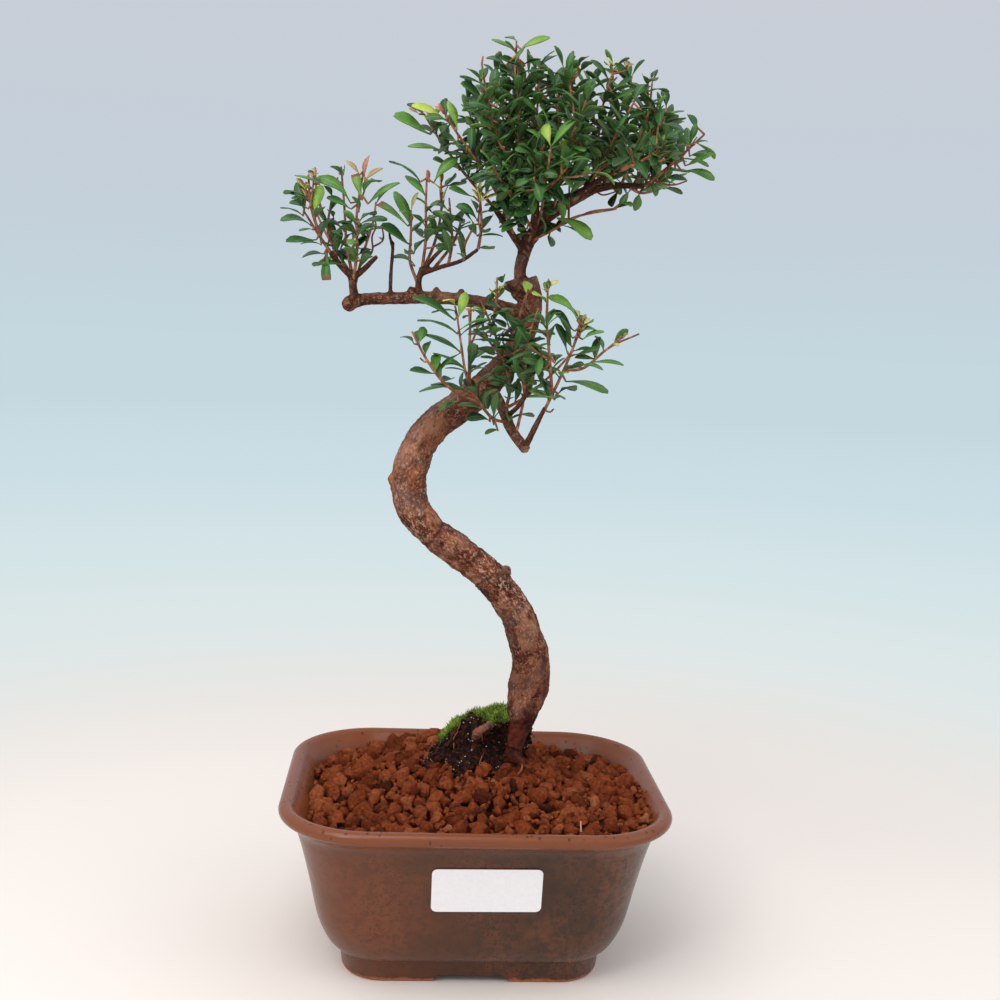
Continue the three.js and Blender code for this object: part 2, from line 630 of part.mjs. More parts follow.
// Adds a leaf to its spray at the first turn that is clear of everything, or leaves it out.
function addLeaf(spray, curve, leaf, solids, taken) {
  const isClear = ({ place, reach }, points) =>
    points.every((p) => p.distanceToSquared(place) > reach * reach);
  for (const turn of LEAF_TURNS) {
    const frame = leafFrame(curve, leaf.along, leaf.angle + turn, leaf.lift, leaf.length, leaf.droop);
    const points = leafPoints(frame);
    if (!taken.every((item) => isClear(item, points))) continue;
    const room = blade(frame, GAP / 2);
    const bounds = room.boundingBox();
    const near = solids().filter((solid) => boxesMeet(bounds, solid.boundingBox()));
    if (near.some((solid) => !room.intersect(solid).isEmpty())) continue;
    spray.solid = spray.solid.add(blade(frame));
    taken.push(...points.map((place) => ({ place, reach: LEAF_CLEARANCE })));
    return;
  }
}

// All sprays: first every shoot, then the leaves in opposite pairs, each pair a quarter turn on.
function makeSprays(wood, woodRoom) {
  const sprays = makeShoots(woodRoom);
  const taken = Object.entries(LIMBS).flatMap(([name, { radii }]) => stemPoints(limbCurves[name], radii));
  for (const { curves, radii } of sprays) {
    taken.push(...curves.flatMap((curve) => stemPoints(curve, radii)));
  }
  sprays.forEach((spray, number) => {
    const draw = drawsFrom(SEED_STEP * (number + 1));
    const others = () => [wood, ...sprays.filter((other) => other !== spray).map(({ solid }) => solid)];
    spray.shoots.forEach(([, , , pairs, size, start], shoot) => {
      const curve = spray.curves[shoot];
      const stagger = PAIR_STAGGER / curve.getLength();
      const roll = Math.PI * draw();
      for (let pair = 0; pair < pairs; pair++) {
        const atTip = pair === pairs - 1;
        for (const side of [0, 1]) {
          const leaf = {
            along: start + ((1 - start) * pair) / (pairs - 1) - side * stagger,
            length: size * (0.85 + 0.3 * draw()) * (atTip ? 0.85 : 1),
            lift: (atTip ? 1.5 : 0.55) + 0.5 * draw(),
            droop: 0.35 * draw(),
            angle: roll + (pair / 2 + side) * Math.PI + 0.5 * (draw() - 0.5),
          };
          addLeaf(spray, curve, leaf, others, taken);
        }
      }
    });
  });
  return sprays;
}

const wood = makeWood(0);
const woodRoom = makeWood(GAP);
const rootBallRoom = lump(ROOT_BALL, 2, GAP);
const rootBall = largestBody(lump(ROOT_BALL, 2).subtract(woodRoom));
const mossRoom = lump(MOSS, 2, GAP);
const moss = largestBody(lump(MOSS, 2).subtract(rootBallRoom).subtract(woodRoom));

const bonsai = new THREE.Group();
bonsai.add(meshOf("pot", makePot(), COLOURS.pot, 0.4));
bonsai.add(meshOf("drain_mesh_left", makeDrainMesh(-DRAIN_HOLE.x), COLOURS.plastic, 0.6));
bonsai.add(meshOf("drain_mesh_right", makeDrainMesh(DRAIN_HOLE.x), COLOURS.plastic, 0.6));
bonsai.add(meshOf("blank_label", makeLabel(), COLOURS.label, 0.7));
bonsai.add(meshOf("soil", makeSoil([rootBallRoom, mossRoom, woodRoom]), COLOURS.soil, 0.95));
bonsai.add(meshOf("root_ball", rootBall, COLOURS.rootBall, 0.9));
bonsai.add(meshOf("moss", moss, COLOURS.moss, 0.95));
bonsai.add(meshOf("trunk", wood, COLOURS.wood, 0.85));
for (const { name, solid } of makeSprays(wood, woodRoom)) {
  bonsai.add(meshOf(name, solid, COLOURS.leaves, 0.45));
}

// The origin is the middle of the foot of the whole plant's box.
const extent = new THREE.Box3().setFromObject(bonsai);
bonsai.position.set(-(extent.min.x + extent.max.x) / 2, -(extent.min.y + extent.max.y) / 2, -extent.min.z);

export default bonsai;
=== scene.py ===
"""A small-leaved bonsai and its pot, put together from the ground up.

Every piece is shaped in millimetres round the middle of the pot's foot, in the places that the
model's source gives, and then set into the model's frame.
"""

import math
import random

import bmesh
import bpy
from mathutils import Matrix, Vector, noise
from mathutils.kdtree import KDTree


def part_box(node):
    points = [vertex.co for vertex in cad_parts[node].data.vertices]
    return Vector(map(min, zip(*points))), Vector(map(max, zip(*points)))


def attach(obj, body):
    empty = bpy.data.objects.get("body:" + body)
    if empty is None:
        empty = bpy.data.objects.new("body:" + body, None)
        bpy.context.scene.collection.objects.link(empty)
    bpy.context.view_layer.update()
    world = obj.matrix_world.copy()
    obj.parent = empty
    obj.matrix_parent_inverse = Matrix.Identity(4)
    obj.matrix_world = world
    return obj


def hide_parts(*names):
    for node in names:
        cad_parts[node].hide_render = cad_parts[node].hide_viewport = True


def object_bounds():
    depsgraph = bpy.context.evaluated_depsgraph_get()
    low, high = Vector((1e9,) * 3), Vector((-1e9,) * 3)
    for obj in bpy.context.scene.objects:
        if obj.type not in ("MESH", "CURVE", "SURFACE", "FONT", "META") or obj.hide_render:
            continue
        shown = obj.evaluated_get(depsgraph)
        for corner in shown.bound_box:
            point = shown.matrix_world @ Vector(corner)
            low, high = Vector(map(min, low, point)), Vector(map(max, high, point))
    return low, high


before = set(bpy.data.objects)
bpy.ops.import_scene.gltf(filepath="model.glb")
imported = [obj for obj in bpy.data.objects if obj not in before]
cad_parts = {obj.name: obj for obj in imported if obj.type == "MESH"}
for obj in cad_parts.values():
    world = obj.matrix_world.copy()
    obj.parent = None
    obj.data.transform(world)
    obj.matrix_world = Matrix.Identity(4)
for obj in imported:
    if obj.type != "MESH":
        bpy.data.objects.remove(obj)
model_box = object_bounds()

# The camera. It stands a little left of the pot's middle, looks slightly down and leans a little.
# Leaves that stand out are placed by where they are seen through it.
CAMERA_PLACE = Vector((-33.9, -573.0, 279.4))
CAMERA_AIM = Vector((6.6, 0.0, 205.1))
CAMERA_ROLL = math.radians(2.51)
LENS = 46.8
SENSOR = 36.0
PICTURE = 1000

low_corner, high_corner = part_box("pot")
pot_middle = (low_corner + high_corner) / 2
home = Matrix.Translation((pot_middle.x, pot_middle.y, low_corner.z)) @ Matrix.Scale(0.001, 4)

sight = (CAMERA_AIM - CAMERA_PLACE).normalized()
level = sight.cross(Vector((0, 0, 1))).normalized()
to_right = level * math.cos(CAMERA_ROLL) + level.cross(sight) * math.sin(CAMERA_ROLL)
to_top = to_right.cross(sight)

camera = bpy.data.objects.new("camera", bpy.data.cameras.new("camera"))
camera.data.sensor_fit = "HORIZONTAL"
camera.data.sensor_width = SENSOR
camera.data.lens = LENS
camera.data.clip_start = 0.01
camera.matrix_world = Matrix.Translation(home @ CAMERA_PLACE) @ Matrix(
    (to_right, to_top, -sight)
).transposed().to_4x4()
bpy.context.scene.collection.objects.link(camera)
bpy.context.scene.camera = camera


def in_picture(place):
    """Where a place is seen, as pixels from the left and from the top, and how far off it is."""
    offset = place - CAMERA_PLACE
    far = offset.dot(sight)
    scale = LENS / SENSOR * PICTURE / far
    return (
        PICTURE / 2 + offset.dot(to_right) * scale,
        PICTURE / 2 - offset.dot(to_top) * scale,
        far,
    )


def at_pixel(u, v, far):
    """The place that is seen at a pixel, at a distance."""
    scale = far / (LENS / SENSOR * PICTURE)
    across = to_right * (u - PICTURE / 2) - to_top * (v - PICTURE / 2)
    return CAMERA_PLACE + sight * far + across * scale


# The pot: slip-cast stoneware, a rounded rectangle with a rolled lip and a foot that has a notch in
# front and behind. Its satin brown glaze stops just above the table, where the bare clay shows.
POT_LENGTH = 170.0
POT_DEPTH = 144.4
POT_CORNER = 38.8
CORNER_SHRINK = 0.72
POT_SEGMENTS = 72
# Height, and inset from the lip: under the foot, up the wall, over the lip, down inside.
POT_FOOT = [(4, 37), (0.6, 36.6), (0, 35.6), (0, 30.1), (0.7, 29.1), (2, 28.4), (9, 27.6), (10, 27)]
POT_WALL = [(10.4, 26.4), (11.2, 25.2), (16, 21.4), (26, 17.2), (42, 13.7), (57, 10.1), (65, 7.7)]
POT_LIP = [
    (68.2, 6), (70.2, 3.9), (71.6, 1.8), (72.8, 0.5), (74.2, 0.05), (75.6, 0.35), (76.7, 1.3),
    (77.3, 2.6),
]
POT_BOWL = [
    (77.25, 3.9), (76.2, 5.5), (74, 7.3), (69, 10.8), (57, 15.4), (20, 25), (12.6, 31), (12, 35),
]
NOTCH = {"width": 41, "height": 3.7, "slope": 6.5}
DRAIN_HOLE = {"radius": 8.5, "x": 25}


def smooth_line(points, steps=4):
    """The points of a smooth line that passes through a few given ones, as vectors."""
    p = [Vector(q) for q in points]
    p = [2 * p[0] - p[1]] + p + [2 * p[-1] - p[-2]]
    line = []
    for a, b, c, d in zip(p, p[1:], p[2:], p[3:]):
        for k in range(steps):
            t = k / steps
            bend = (2 * a - 5 * b + 4 * c - d) * t * t + (3 * (b - c) + d - a) * t**3
            line.append(b + ((c - a) * t + bend) / 2)
    return line + [p[-2]]


def pot_ring(shape, height, inset):
    """The edges of one level of the pot: a circle whose quarters are moved out to the corners."""
    radius = POT_CORNER - CORNER_SHRINK * inset
    turn = Matrix.Rotation(math.pi / POT_SEGMENTS, 4, "Z")
    made = bmesh.ops.create_circle(shape, segments=POT_SEGMENTS, radius=radius, matrix=turn)
    for point in made["verts"]:
        point.co.x += math.copysign(POT_LENGTH / 2 - inset - radius, point.co.x)
        point.co.y += math.copysign(POT_DEPTH / 2 - inset - radius, point.co.y)
        point.co.z = height
    return list(dict.fromkeys(edge for point in made["verts"] for edge in point.link_edges))


def pot_skin(levels):
    """A closed skin over levels of the pot, each a height and an inset."""
    shape = bmesh.new()
    rings = [pot_ring(shape, height, max(inset, 0.05)) for height, inset in levels]
    for lower, upper in zip(rings, rings[1:]):
        bmesh.ops.bridge_loops(shape, edges=lower + upper)
    for ring in (rings[0], rings[-1]):
        bmesh.ops.edgeloop_fill(shape, edges=ring)
    bmesh.ops.recalc_face_normals(shape, faces=shape.faces)
    return shape


def mesh_of(name, shape):
    """A mesh made from a bmesh, which is freed."""
    mesh = bpy.data.meshes.new(name)
    shape.to_mesh(mesh)
    shape.free()
    return mesh


def finished(mesh, *modifiers):
    """The mesh with some modifiers applied; each is a kind and its settings."""
    worker = bpy.data.objects.new("worker", mesh)
    bpy.context.scene.collection.objects.link(worker)
    for kind, settings in modifiers:
        modifier = worker.modifiers.new(kind, kind)
        for key, value in settings.items():
            setattr(modifier, key, value)
    bpy.context.view_layer.update()
    ready = worker.evaluated_get(bpy.context.evaluated_depsgraph_get())
    result = bpy.data.meshes.new_from_object(ready)
    bpy.data.objects.remove(worker)
    return result


def set_piece(name, mesh, material, nodes=(), crease=None):
    """Sets a mesh in millimetres into the frame as a piece, which may stand for model nodes."""
    mesh.transform(home)
    mesh.shade_smooth()
    if crease is not None:
        mesh.set_sharp_from_angle(angle=math.radians(crease))
    mesh.materials.clear()
    mesh.materials.append(material)
    piece = bpy.data.objects.new(name, mesh)
    bpy.context.scene.collection.objects.link(piece)
    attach(piece, "root")
    if nodes:
        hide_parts(*nodes)
    return piece


def colour(code):
    """An sRGB hex value such as "8a4522" as linear red, green, blue and alpha."""
    parts = [int(code[k : k + 2], 16) / 255 for k in (0, 2, 4)]
    return [c / 12.92 if c <= 0.04045 else ((c + 0.055) / 1.055) ** 2.4 for c in parts] + [1.0]


def plug(node, key, value):
    """Sets an input of a shader node to a value, a hex colour or the output that feeds it."""
    if isinstance(value, bpy.types.NodeSocket):
        node.id_data.links.new(value, node.inputs[key])
    else:
        node.inputs[key].default_value = colour(value) if isinstance(value, str) else value


def add_node(material, kind, inputs, **settings):
    """Adds a shader node."""
    made = material.node_tree.nodes.new("ShaderNode" + kind)
    for key, value in settings.items():
        setattr(made, key, value)
    for key, value in inputs.items():
        plug(made, key, value)
    return made


def position(material):
    """Where on the piece a point lies, in metres."""
    return add_node(material, "TexCoord", {}).outputs["Object"]


def carried(material, key):
    """The value that the mesh carries under a name."""
    return add_node(material, "Attribute", {}, attribute_name=key).outputs["Fac"]


def clouds(material, place, scale, detail=2, roughness=0.5, distortion=0):
    """Noise with this many spots a metre."""
    inputs = {"Vector": place, "Scale": scale, "Detail": detail, "Roughness": roughness}
    return add_node(material, "TexNoise", inputs | {"Distortion": distortion}).outputs["Fac"]


def cells(material, place, scale):
    """The distance from the middle of the nearest of cells, with this many a metre."""
    return add_node(material, "TexVoronoi", {"Vector": place, "Scale": scale}).outputs["Distance"]


def reckoned(material, operation, *values):
    """The result of an operation on values."""
    return add_node(material, "Math", dict(enumerate(values)), operation=operation).outputs["Value"]


def ranged(material, value, low=0, high=1, to_low=0, to_high=1, **settings):
    """A value moved from one range to another, and kept within it."""
    inputs = {"Value": value, "From Min": low, "From Max": high, "To Min": to_low}
    made = add_node(material, "MapRange", inputs | {"To Max": to_high}, **settings)
    return made.outputs["Result"]


def ramp(material, value, *stops):
    """A hex colour, or a number, that follows a value by stops."""
    made = add_node(material, "ValToRGB", {"Fac": value})
    row = made.color_ramp.elements
    for k, (place, shade) in enumerate(stops):
        stop = row[k] if k < len(row) else row.new(place)
        stop.position = place
        stop.color = colour(shade) if isinstance(shade, str) else (shade, shade, shade, 1)
    return made.outputs["Color"]


def mixed(material, share, first, second, blend="MIX"):
    """A colour mixed with a share of a second one."""
    inputs = {0: share, 6: first, 7: second}
    return add_node(material, "Mix", inputs, data_type="RGBA", blend_type=blend).outputs[2]


def bumps(material, height, strength, depth):
    """The relief of a height from 0 to 1, this deep in metres."""
    inputs = {"Height": height, "Strength": strength, "Distance": depth}
    return add_node(material, "Bump", inputs).outputs["Normal"]


def feed(material, **sockets):
    """Sets sockets of a material's shader."""
    for key, value in sockets.items():
        plug(material.node_tree.nodes["Principled BSDF"], key.replace("_", " "), value)


def new_finish(name, **sockets):
    """A material, with the values that are the same all over."""
    material = bpy.data.materials.new(name)
    material.use_nodes = True
    feed(material, **sockets)
    return material


# Satin stoneware glaze, fired brown: reddish over the lip, dark where it lies thick, with iron
# specks of about 1 mm, and redder towards the left, partly thin glaze and partly painted light. The
# bare clay at the foot is orange and dull.
glaze = new_finish("satin_stoneware_glaze", IOR=1.5, Specular_IOR_Level=0.32)
place = position(glaze)
thick = clouds(glaze, place, 30, 5, 0.6)
tone = ramp(glaze, thick, (0.36, "3b2518"), (0.5, "4f2f1d"), (0.64, "673a22"))
mist = clouds(glaze, place, 330, 5, 0.75)
veiled = mixed(glaze, ramp(glaze, mist, (0.45, 0), (0.6, 0.8)), tone, "34251b")
speck = ramp(glaze, cells(glaze, place, 620), (0.2, 0.9), (0.32, 0))
where = ramp(glaze, clouds(glaze, place, 55), (0.42, 0), (0.6, 1))
specked = mixed(glaze, reckoned(glaze, "MULTIPLY", speck, where), veiled, "241d1a")
spread = add_node(glaze, "SeparateXYZ", {"Vector": place}).outputs
# Redder and lighter towards the left: partly the glaze lying thin there, partly painted light on
# the side that takes more light.
reddened_and_lit_left = mixed(glaze, ranged(glaze, spread["X"], -0.075, 0.02, 0.6, 0), specked, "7c4327")
upright = add_node(glaze, "Mapping", {"Vector": place, "Scale": (300, 300, 42)}).outputs["Vector"]
stroke = ramp(glaze, cells(glaze, upright, 1), (0.15, 0.85), (0.21, 0))
wander = reckoned(glaze, "MULTIPLY_ADD", mist, 0.004, spread["Z"])
on_lip = ranged(glaze, wander, 0.0695, 0.0755, 0, 0.85)
lipped = mixed(glaze, on_lip, reddened_and_lit_left, "7f4427")
streaked = mixed(glaze, reckoned(glaze, "MULTIPLY", stroke, on_lip), lipped, "2c1a12")
bare = ranged(glaze, wander, 0.0042, 0.003)
feed(
    glaze,
    Base_Color=mixed(glaze, bare, streaked, "b06a45"),
    Roughness=ranged(glaze, bare, 0, 1, 0.27, 0.9),
    Normal=bumps(glaze, clouds(glaze, place, 130, 4, 0.55), 0.35, 0.0008),
)

foot_rings = [tuple(p) for p in smooth_line([(h, i) for h, i in POT_FOOT], 1)]
wall_rings = [tuple(p) for p in smooth_line(POT_WALL)]
lip_rings = [tuple(p) for p in smooth_line(POT_LIP, 3)]
bowl_rings = [tuple(p) for p in smooth_line(POT_BOWL, 3)]
pot_mesh = mesh_of("pot", pot_skin(foot_rings + wall_rings + lip_rings + bowl_rings))

cutters = bmesh.new()
notch_size = Matrix.Diagonal((NOTCH["width"], 2 * POT_DEPTH, 2 * NOTCH["height"], 1))
notch = bmesh.ops.create_cube(cutters, matrix=notch_size)["verts"]
for point in notch:
    if point.co.z > 0:
        point.co.x -= math.copysign(NOTCH["slope"], point.co.x)
edges = dict.fromkeys(edge for point in notch for edge in point.link_edges)
top_edges = [e for e in edges if all(point.co.z > 0 for point in e.verts)]
rounded = [e for e in top_edges if abs(e.verts[0].co.y - e.verts[1].co.y) > POT_DEPTH]
bmesh.ops.bevel(
    cutters, geom=rounded, offset=1.6, segments=4, profile=0.5, affect="EDGES", material=-1
)
for x in (-DRAIN_HOLE["x"], DRAIN_HOLE["x"]):
    bmesh.ops.create_cone(
        cutters,
        cap_ends=True,
        segments=32,
        radius1=DRAIN_HOLE["radius"],
        radius2=DRAIN_HOLE["radius"],
        depth=30,
        matrix=Matrix.Translation((x, 0, 10)),
    )
bmesh.ops.recalc_face_normals(cutters, faces=cutters.faces)
cutter = bpy.data.objects.new("cutter", mesh_of("cutter", cutters))
bpy.context.scene.collection.objects.link(cutter)
cut = {"operation": "DIFFERENCE", "solver": "EXACT", "object": cutter}
pot_mesh = finished(pot_mesh, ("BOOLEAN", cut))
bpy.data.objects.remove(cutter)
set_piece("glazed_pot", pot_mesh, glaze, ["pot"], crease=38)


# A square of plastic mesh over each drain hole, cut from a sheet with openings of about 2 mm. It
# lies flat on the pot's floor and keeps the soil in.
DRAIN_MESH = {"side": 26.6, "cells": 8, "bar": 1.1, "thickness": 1.3, "level": 13.05}

plastic = new_finish("black_polythene_mesh", Roughness=0.55, IOR=1.5)
scuffs = clouds(plastic, position(plastic), 900, 3)
feed(plastic, Base_Color=ramp(plastic, scuffs, (0.4, "141617"), (0.75, "34383a")))

for side, x in (("left", -DRAIN_HOLE["x"]), ("right", DRAIN_HOLE["x"])):
    shape = bmesh.new()
    bmesh.ops.create_grid(
        shape,
        x_segments=DRAIN_MESH["cells"],
        y_segments=DRAIN_MESH["cells"],
        size=DRAIN_MESH["side"] / 2,
        matrix=Matrix.Translation((x, 0, DRAIN_MESH["level"])),
    )
    bars = {"thickness": DRAIN_MESH["bar"], "use_boundary": True, "use_even_offset": True}
    sheet = finished(mesh_of("mesh_square", shape), ("WIREFRAME", bars))
    set_piece("mesh_square_" + side, sheet, plastic, ["drain_mesh_" + side], crease=30)


# The sticker on the front wall: smooth white label paper with rounded corners, left blank. It is
# glued on and follows the wall.
LABEL = {"length": 46.0, "height": 20.6, "x": 4.0, "z": 49.6, "corner": 2.4}
PAPER = 0.16
LABEL_OFF_WALL = 0.42
LABEL_TILT = math.radians(0.6)


def wall_inset(z):
    """How far the outside of the wall lies in from the lip at a height."""
    for (low, a), (high, b) in zip(wall_rings, wall_rings[1:]):
        if low <= z <= high:
            return a + (b - a) * (z - low) / (high - low)
    return wall_rings[-1][1]


paper = new_finish("white_label_paper", Roughness=0.5, IOR=1.45)
fibres = clouds(paper, position(paper), 700, 5, 0.7)
feed(
    paper,
    Base_Color=ramp(paper, fibres, (0.35, "eeebec"), (0.6, "f3f1f2")),
    Normal=bumps(paper, fibres, 0.15, 0.0001),
)

shape = bmesh.new()
bmesh.ops.create_grid(shape, x_segments=60, y_segments=40, size=0.5)
for point in shape.verts:
    x, z = point.co.x * LABEL["length"], point.co.y * LABEL["height"]
    corner = Vector((LABEL["length"] / 2, LABEL["height"] / 2)) - Vector((1, 1)) * LABEL["corner"]
    over = Vector((max(0, abs(x) - corner.x), max(0, abs(z) - corner.y)))
    if over.x and over.y:
        over *= max(over) / over.length
    x = math.copysign(min(abs(x), corner.x) + over.x, x)
    z = math.copysign(min(abs(z), corner.y) + over.y, z)
    x, z = x - z * math.sin(LABEL_TILT), z + x * math.sin(LABEL_TILT)
    x, z = x + LABEL["x"], z + LABEL["z"]
    point.co = (x, wall_inset(z) - POT_DEPTH / 2 - LABEL_OFF_WALL, z)
bmesh.ops.recalc_face_normals(shape, faces=shape.faces)
bmesh.ops.solidify(shape, geom=shape.faces[:], thickness=PAPER)
bmesh.ops.recalc_face_normals(shape, faces=shape.faces)
set_piece("blank_sticker", mesh_of("sticker", shape), paper, ["blank_label"], 40)


# Akadama soil: orange-brown clay granules of 2 to 9 mm, poured in and heaped up behind the trunk,
# with a hollow and a bank on the right. A bed fills the pot, and loose granules lie on it.
SOIL_LEVEL = 67
SOIL_TILT = 0.048
MOUND = {"x": 2, "y": 20, "rise": 17, "spread_left": 38, "spread_right": 24, "spread_y": 45}
HOLLOW = {"x": 60, "y": 40, "fall": 5, "spread": 22}
BANK = {"x": 50, "rise": 0.07}
SOIL_INSET = 10.8
NEARER_RIGHT = 0.045
# The width of granules, and how many times a place is tried for each.
GRANULES = [(9.4, 80), (8, 260), (6.6, 700), (5.4, 1500), (4.2, 3600), (3.1, 6000), (2.1, 7000)]
CELL = 10
BATCH = 120
BED_TONE = 0.12
ROOT_BALL = {"centre": Vector((3, 6, 70)), "radii": Vector((30, 26, 33))}


def soil_level(x, y):
    """The height of the soil at a place."""
    across = (x - MOUND["x"]) / MOUND["spread_right" if x > MOUND["x"] else "spread_left"]
    along = (y - MOUND["y"]) / MOUND["spread_y"]
    level = SOIL_LEVEL + SOIL_TILT * x + MOUND["rise"] * math.exp(-(across**2 + along**2) / 2)
    away = math.hypot(x - HOLLOW["x"], y - HOLLOW["y"]) / HOLLOW["spread"]
    return level - HOLLOW["fall"] * math.exp(-(away**2) / 2) + BANK["rise"] * max(0, x - BANK["x"])


def room_in_pot(x, y):
    """How far a place lies inside the soil's edge at the wall, negative outside it."""
    inset = SOIL_INSET - NEARER_RIGHT * max(0, x)
    radius = POT_CORNER - CORNER_SHRINK * inset
    dx = abs(x) - (POT_LENGTH / 2 - inset - radius)
    dy = abs(y) - (POT_DEPTH / 2 - inset - radius)
    if dx > 0 and dy > 0:
        return radius - math.hypot(dx, dy)
    return radius - max(dx, dy)


def ball_level(x, y):
    """The height of the root ball at a place, or 0 beside it."""
    centre, radii = ROOT_BALL["centre"], ROOT_BALL["radii"]
    share = 1 - ((x - centre.x) / radii.x) ** 2 - ((y - centre.y) / radii.y) ** 2
    return centre.z + radii.z * math.sqrt(share) if share > 0 else 0


# Fired-looking clay: dull and dusty, brick red to ochre from grain to grain, with pits of about
# half a millimetre. Each grain carries its own tone.
akadama = new_finish("akadama_clay", Roughness=0.95, Specular_IOR_Level=0.12)
place = position(akadama)
tones = [(0, "3a1a0e"), (0.12, "6b2f15"), (0.45, "a04c26"), (0.8, "b76339"), (1, "be7850")]
clay = ramp(akadama, carried(akadama, "tone"), *tones)
dust = ramp(akadama, clouds(akadama, place, 700, 4, 0.7), (0.34, 0.45), (0.66, 1.15))
feed(
    akadama,
    Base_Color=mixed(akadama, 1, clay, dust, "MULTIPLY"),
    Normal=bumps(akadama, clouds(akadama, place, 620, 6, 0.8), 1, 0.0022),
)

bed_levels = [(13.9, 34), (20, 25.4), (57, 15.8)]
bed = pot_skin(bed_levels + [(SOIL_LEVEL, SOIL_INSET + k) for k in (1.4, 6, 12, 20, 30, 42, 54)])
for point in bed.verts:
    if point.co.z >= SOIL_LEVEL:
        point.co.z = soil_level(point.co.x, point.co.y) - 0.2
bed_mesh = mesh_of("soil_bed", bed)
bed_tone = bed_mesh.attributes.new("tone", "FLOAT", "POINT")
for value in bed_tone.data:
    value.value = BED_TONE
set_piece("soil_bed", bed_mesh, akadama, ["soil"])


def broken_lump(seed):
    """A granule 1 across: a ball, dented by noise, with a few sides broken off flat."""
    chance = random.Random(seed)
    shape = bmesh.new()
    bmesh.ops.create_icosphere(shape, subdivisions=2, radius=0.5)
    shift = Vector((seed * 7.3, seed * 3.1, 0))
    breaks = [
        (Vector([chance.gauss(0, 1) for _ in "xyz"]).normalized(), chance.uniform(0.3, 0.45))
        for _ in range(8)
    ]
    stretch = Vector([chance.uniform(0.8, 1.2) for _ in "xyz"])
    for point in shape.verts:
        coarse, fine = noise.noise(point.co * 2.6 + shift), noise.noise(point.co * 6.7 - shift)
        point.co *= 1.0 + 0.5 * coarse + 0.34 * fine
        for way, depth in breaks:
            point.co -= way * max(0, point.co.dot(way) - depth)
        point.co *= stretch
    return mesh_of("lump", shape)


def planted(rows, whole=None):
    """A shape of many copies. A row is a template, a matrix and the values its points carry."""
    whole = whole or bmesh.new()
    for first in range(0, len(rows), BATCH):
        batch = bmesh.new()
        for key in rows[0][2]:
            batch.verts.layers.float.new(key)
        for template, matrix, marks in rows[first : first + BATCH]:
            start = len(batch.verts)
            batch.from_mesh(template)
            batch.verts.ensure_lookup_table()
            fresh = batch.verts[start:]
            bmesh.ops.transform(batch, matrix=matrix, verts=fresh)
            for key, value in marks.items():
                layer = batch.verts.layers.float[key]
                for point in fresh:
                    point[layer] = value
        part = mesh_of("part", batch)
        whole.from_mesh(part)
        bpy.data.meshes.remove(part)
    return whole


lumps = [broken_lump(seed) for seed in range(1, 15)]
chance = random.Random(8)
laid = {}
granules = []
for size, tries in GRANULES:
    for _ in range(tries):
        across = size * chance.uniform(0.88, 1.12)
        x = chance.uniform(-POT_LENGTH / 2, POT_LENGTH / 2)
        y = chance.uniform(-POT_DEPTH / 2, POT_DEPTH / 2)
        if room_in_pot(x, y) < 0.38 * across or ball_level(x, y) > soil_level(x, y) + 3:
            continue
        cell = (int(x // CELL), int(y // CELL))
        near = [
            other
            for i in (-1, 0, 1)
            for j in (-1, 0, 1)
            for other in laid.get((cell[0] + i, cell[1] + j), ())
        ]
        if any(math.hypot(x - a, y - b) < 0.4 * (across + c) for a, b, c in near):
            continue
        laid.setdefault(cell, []).append((x, y, across))
        sink = chance.uniform(0, 0.3) if across > 3 else chance.uniform(0.3, 1.1)
        middle = Vector((x, y, soil_level(x, y) + across * sink))
        spin = Matrix.Rotation(chance.uniform(0, 2 * math.pi), 4, Vector((x, y, 9)).normalized())
        tilt = Matrix.Rotation(chance.uniform(0, math.pi), 4, "X")
        place = Matrix.Translation(middle) @ spin @ tilt @ Matrix.Scale(across, 4)
        shade = min(1, max(0.1, chance.gauss(0.5, 0.17))) if chance.random() > 0.012 else 0.05
        granules.append((chance.choice(lumps), place, {"tone": shade}))
set_piece("akadama_granules", mesh_of("granules", planted(granules)), akadama, crease=48)


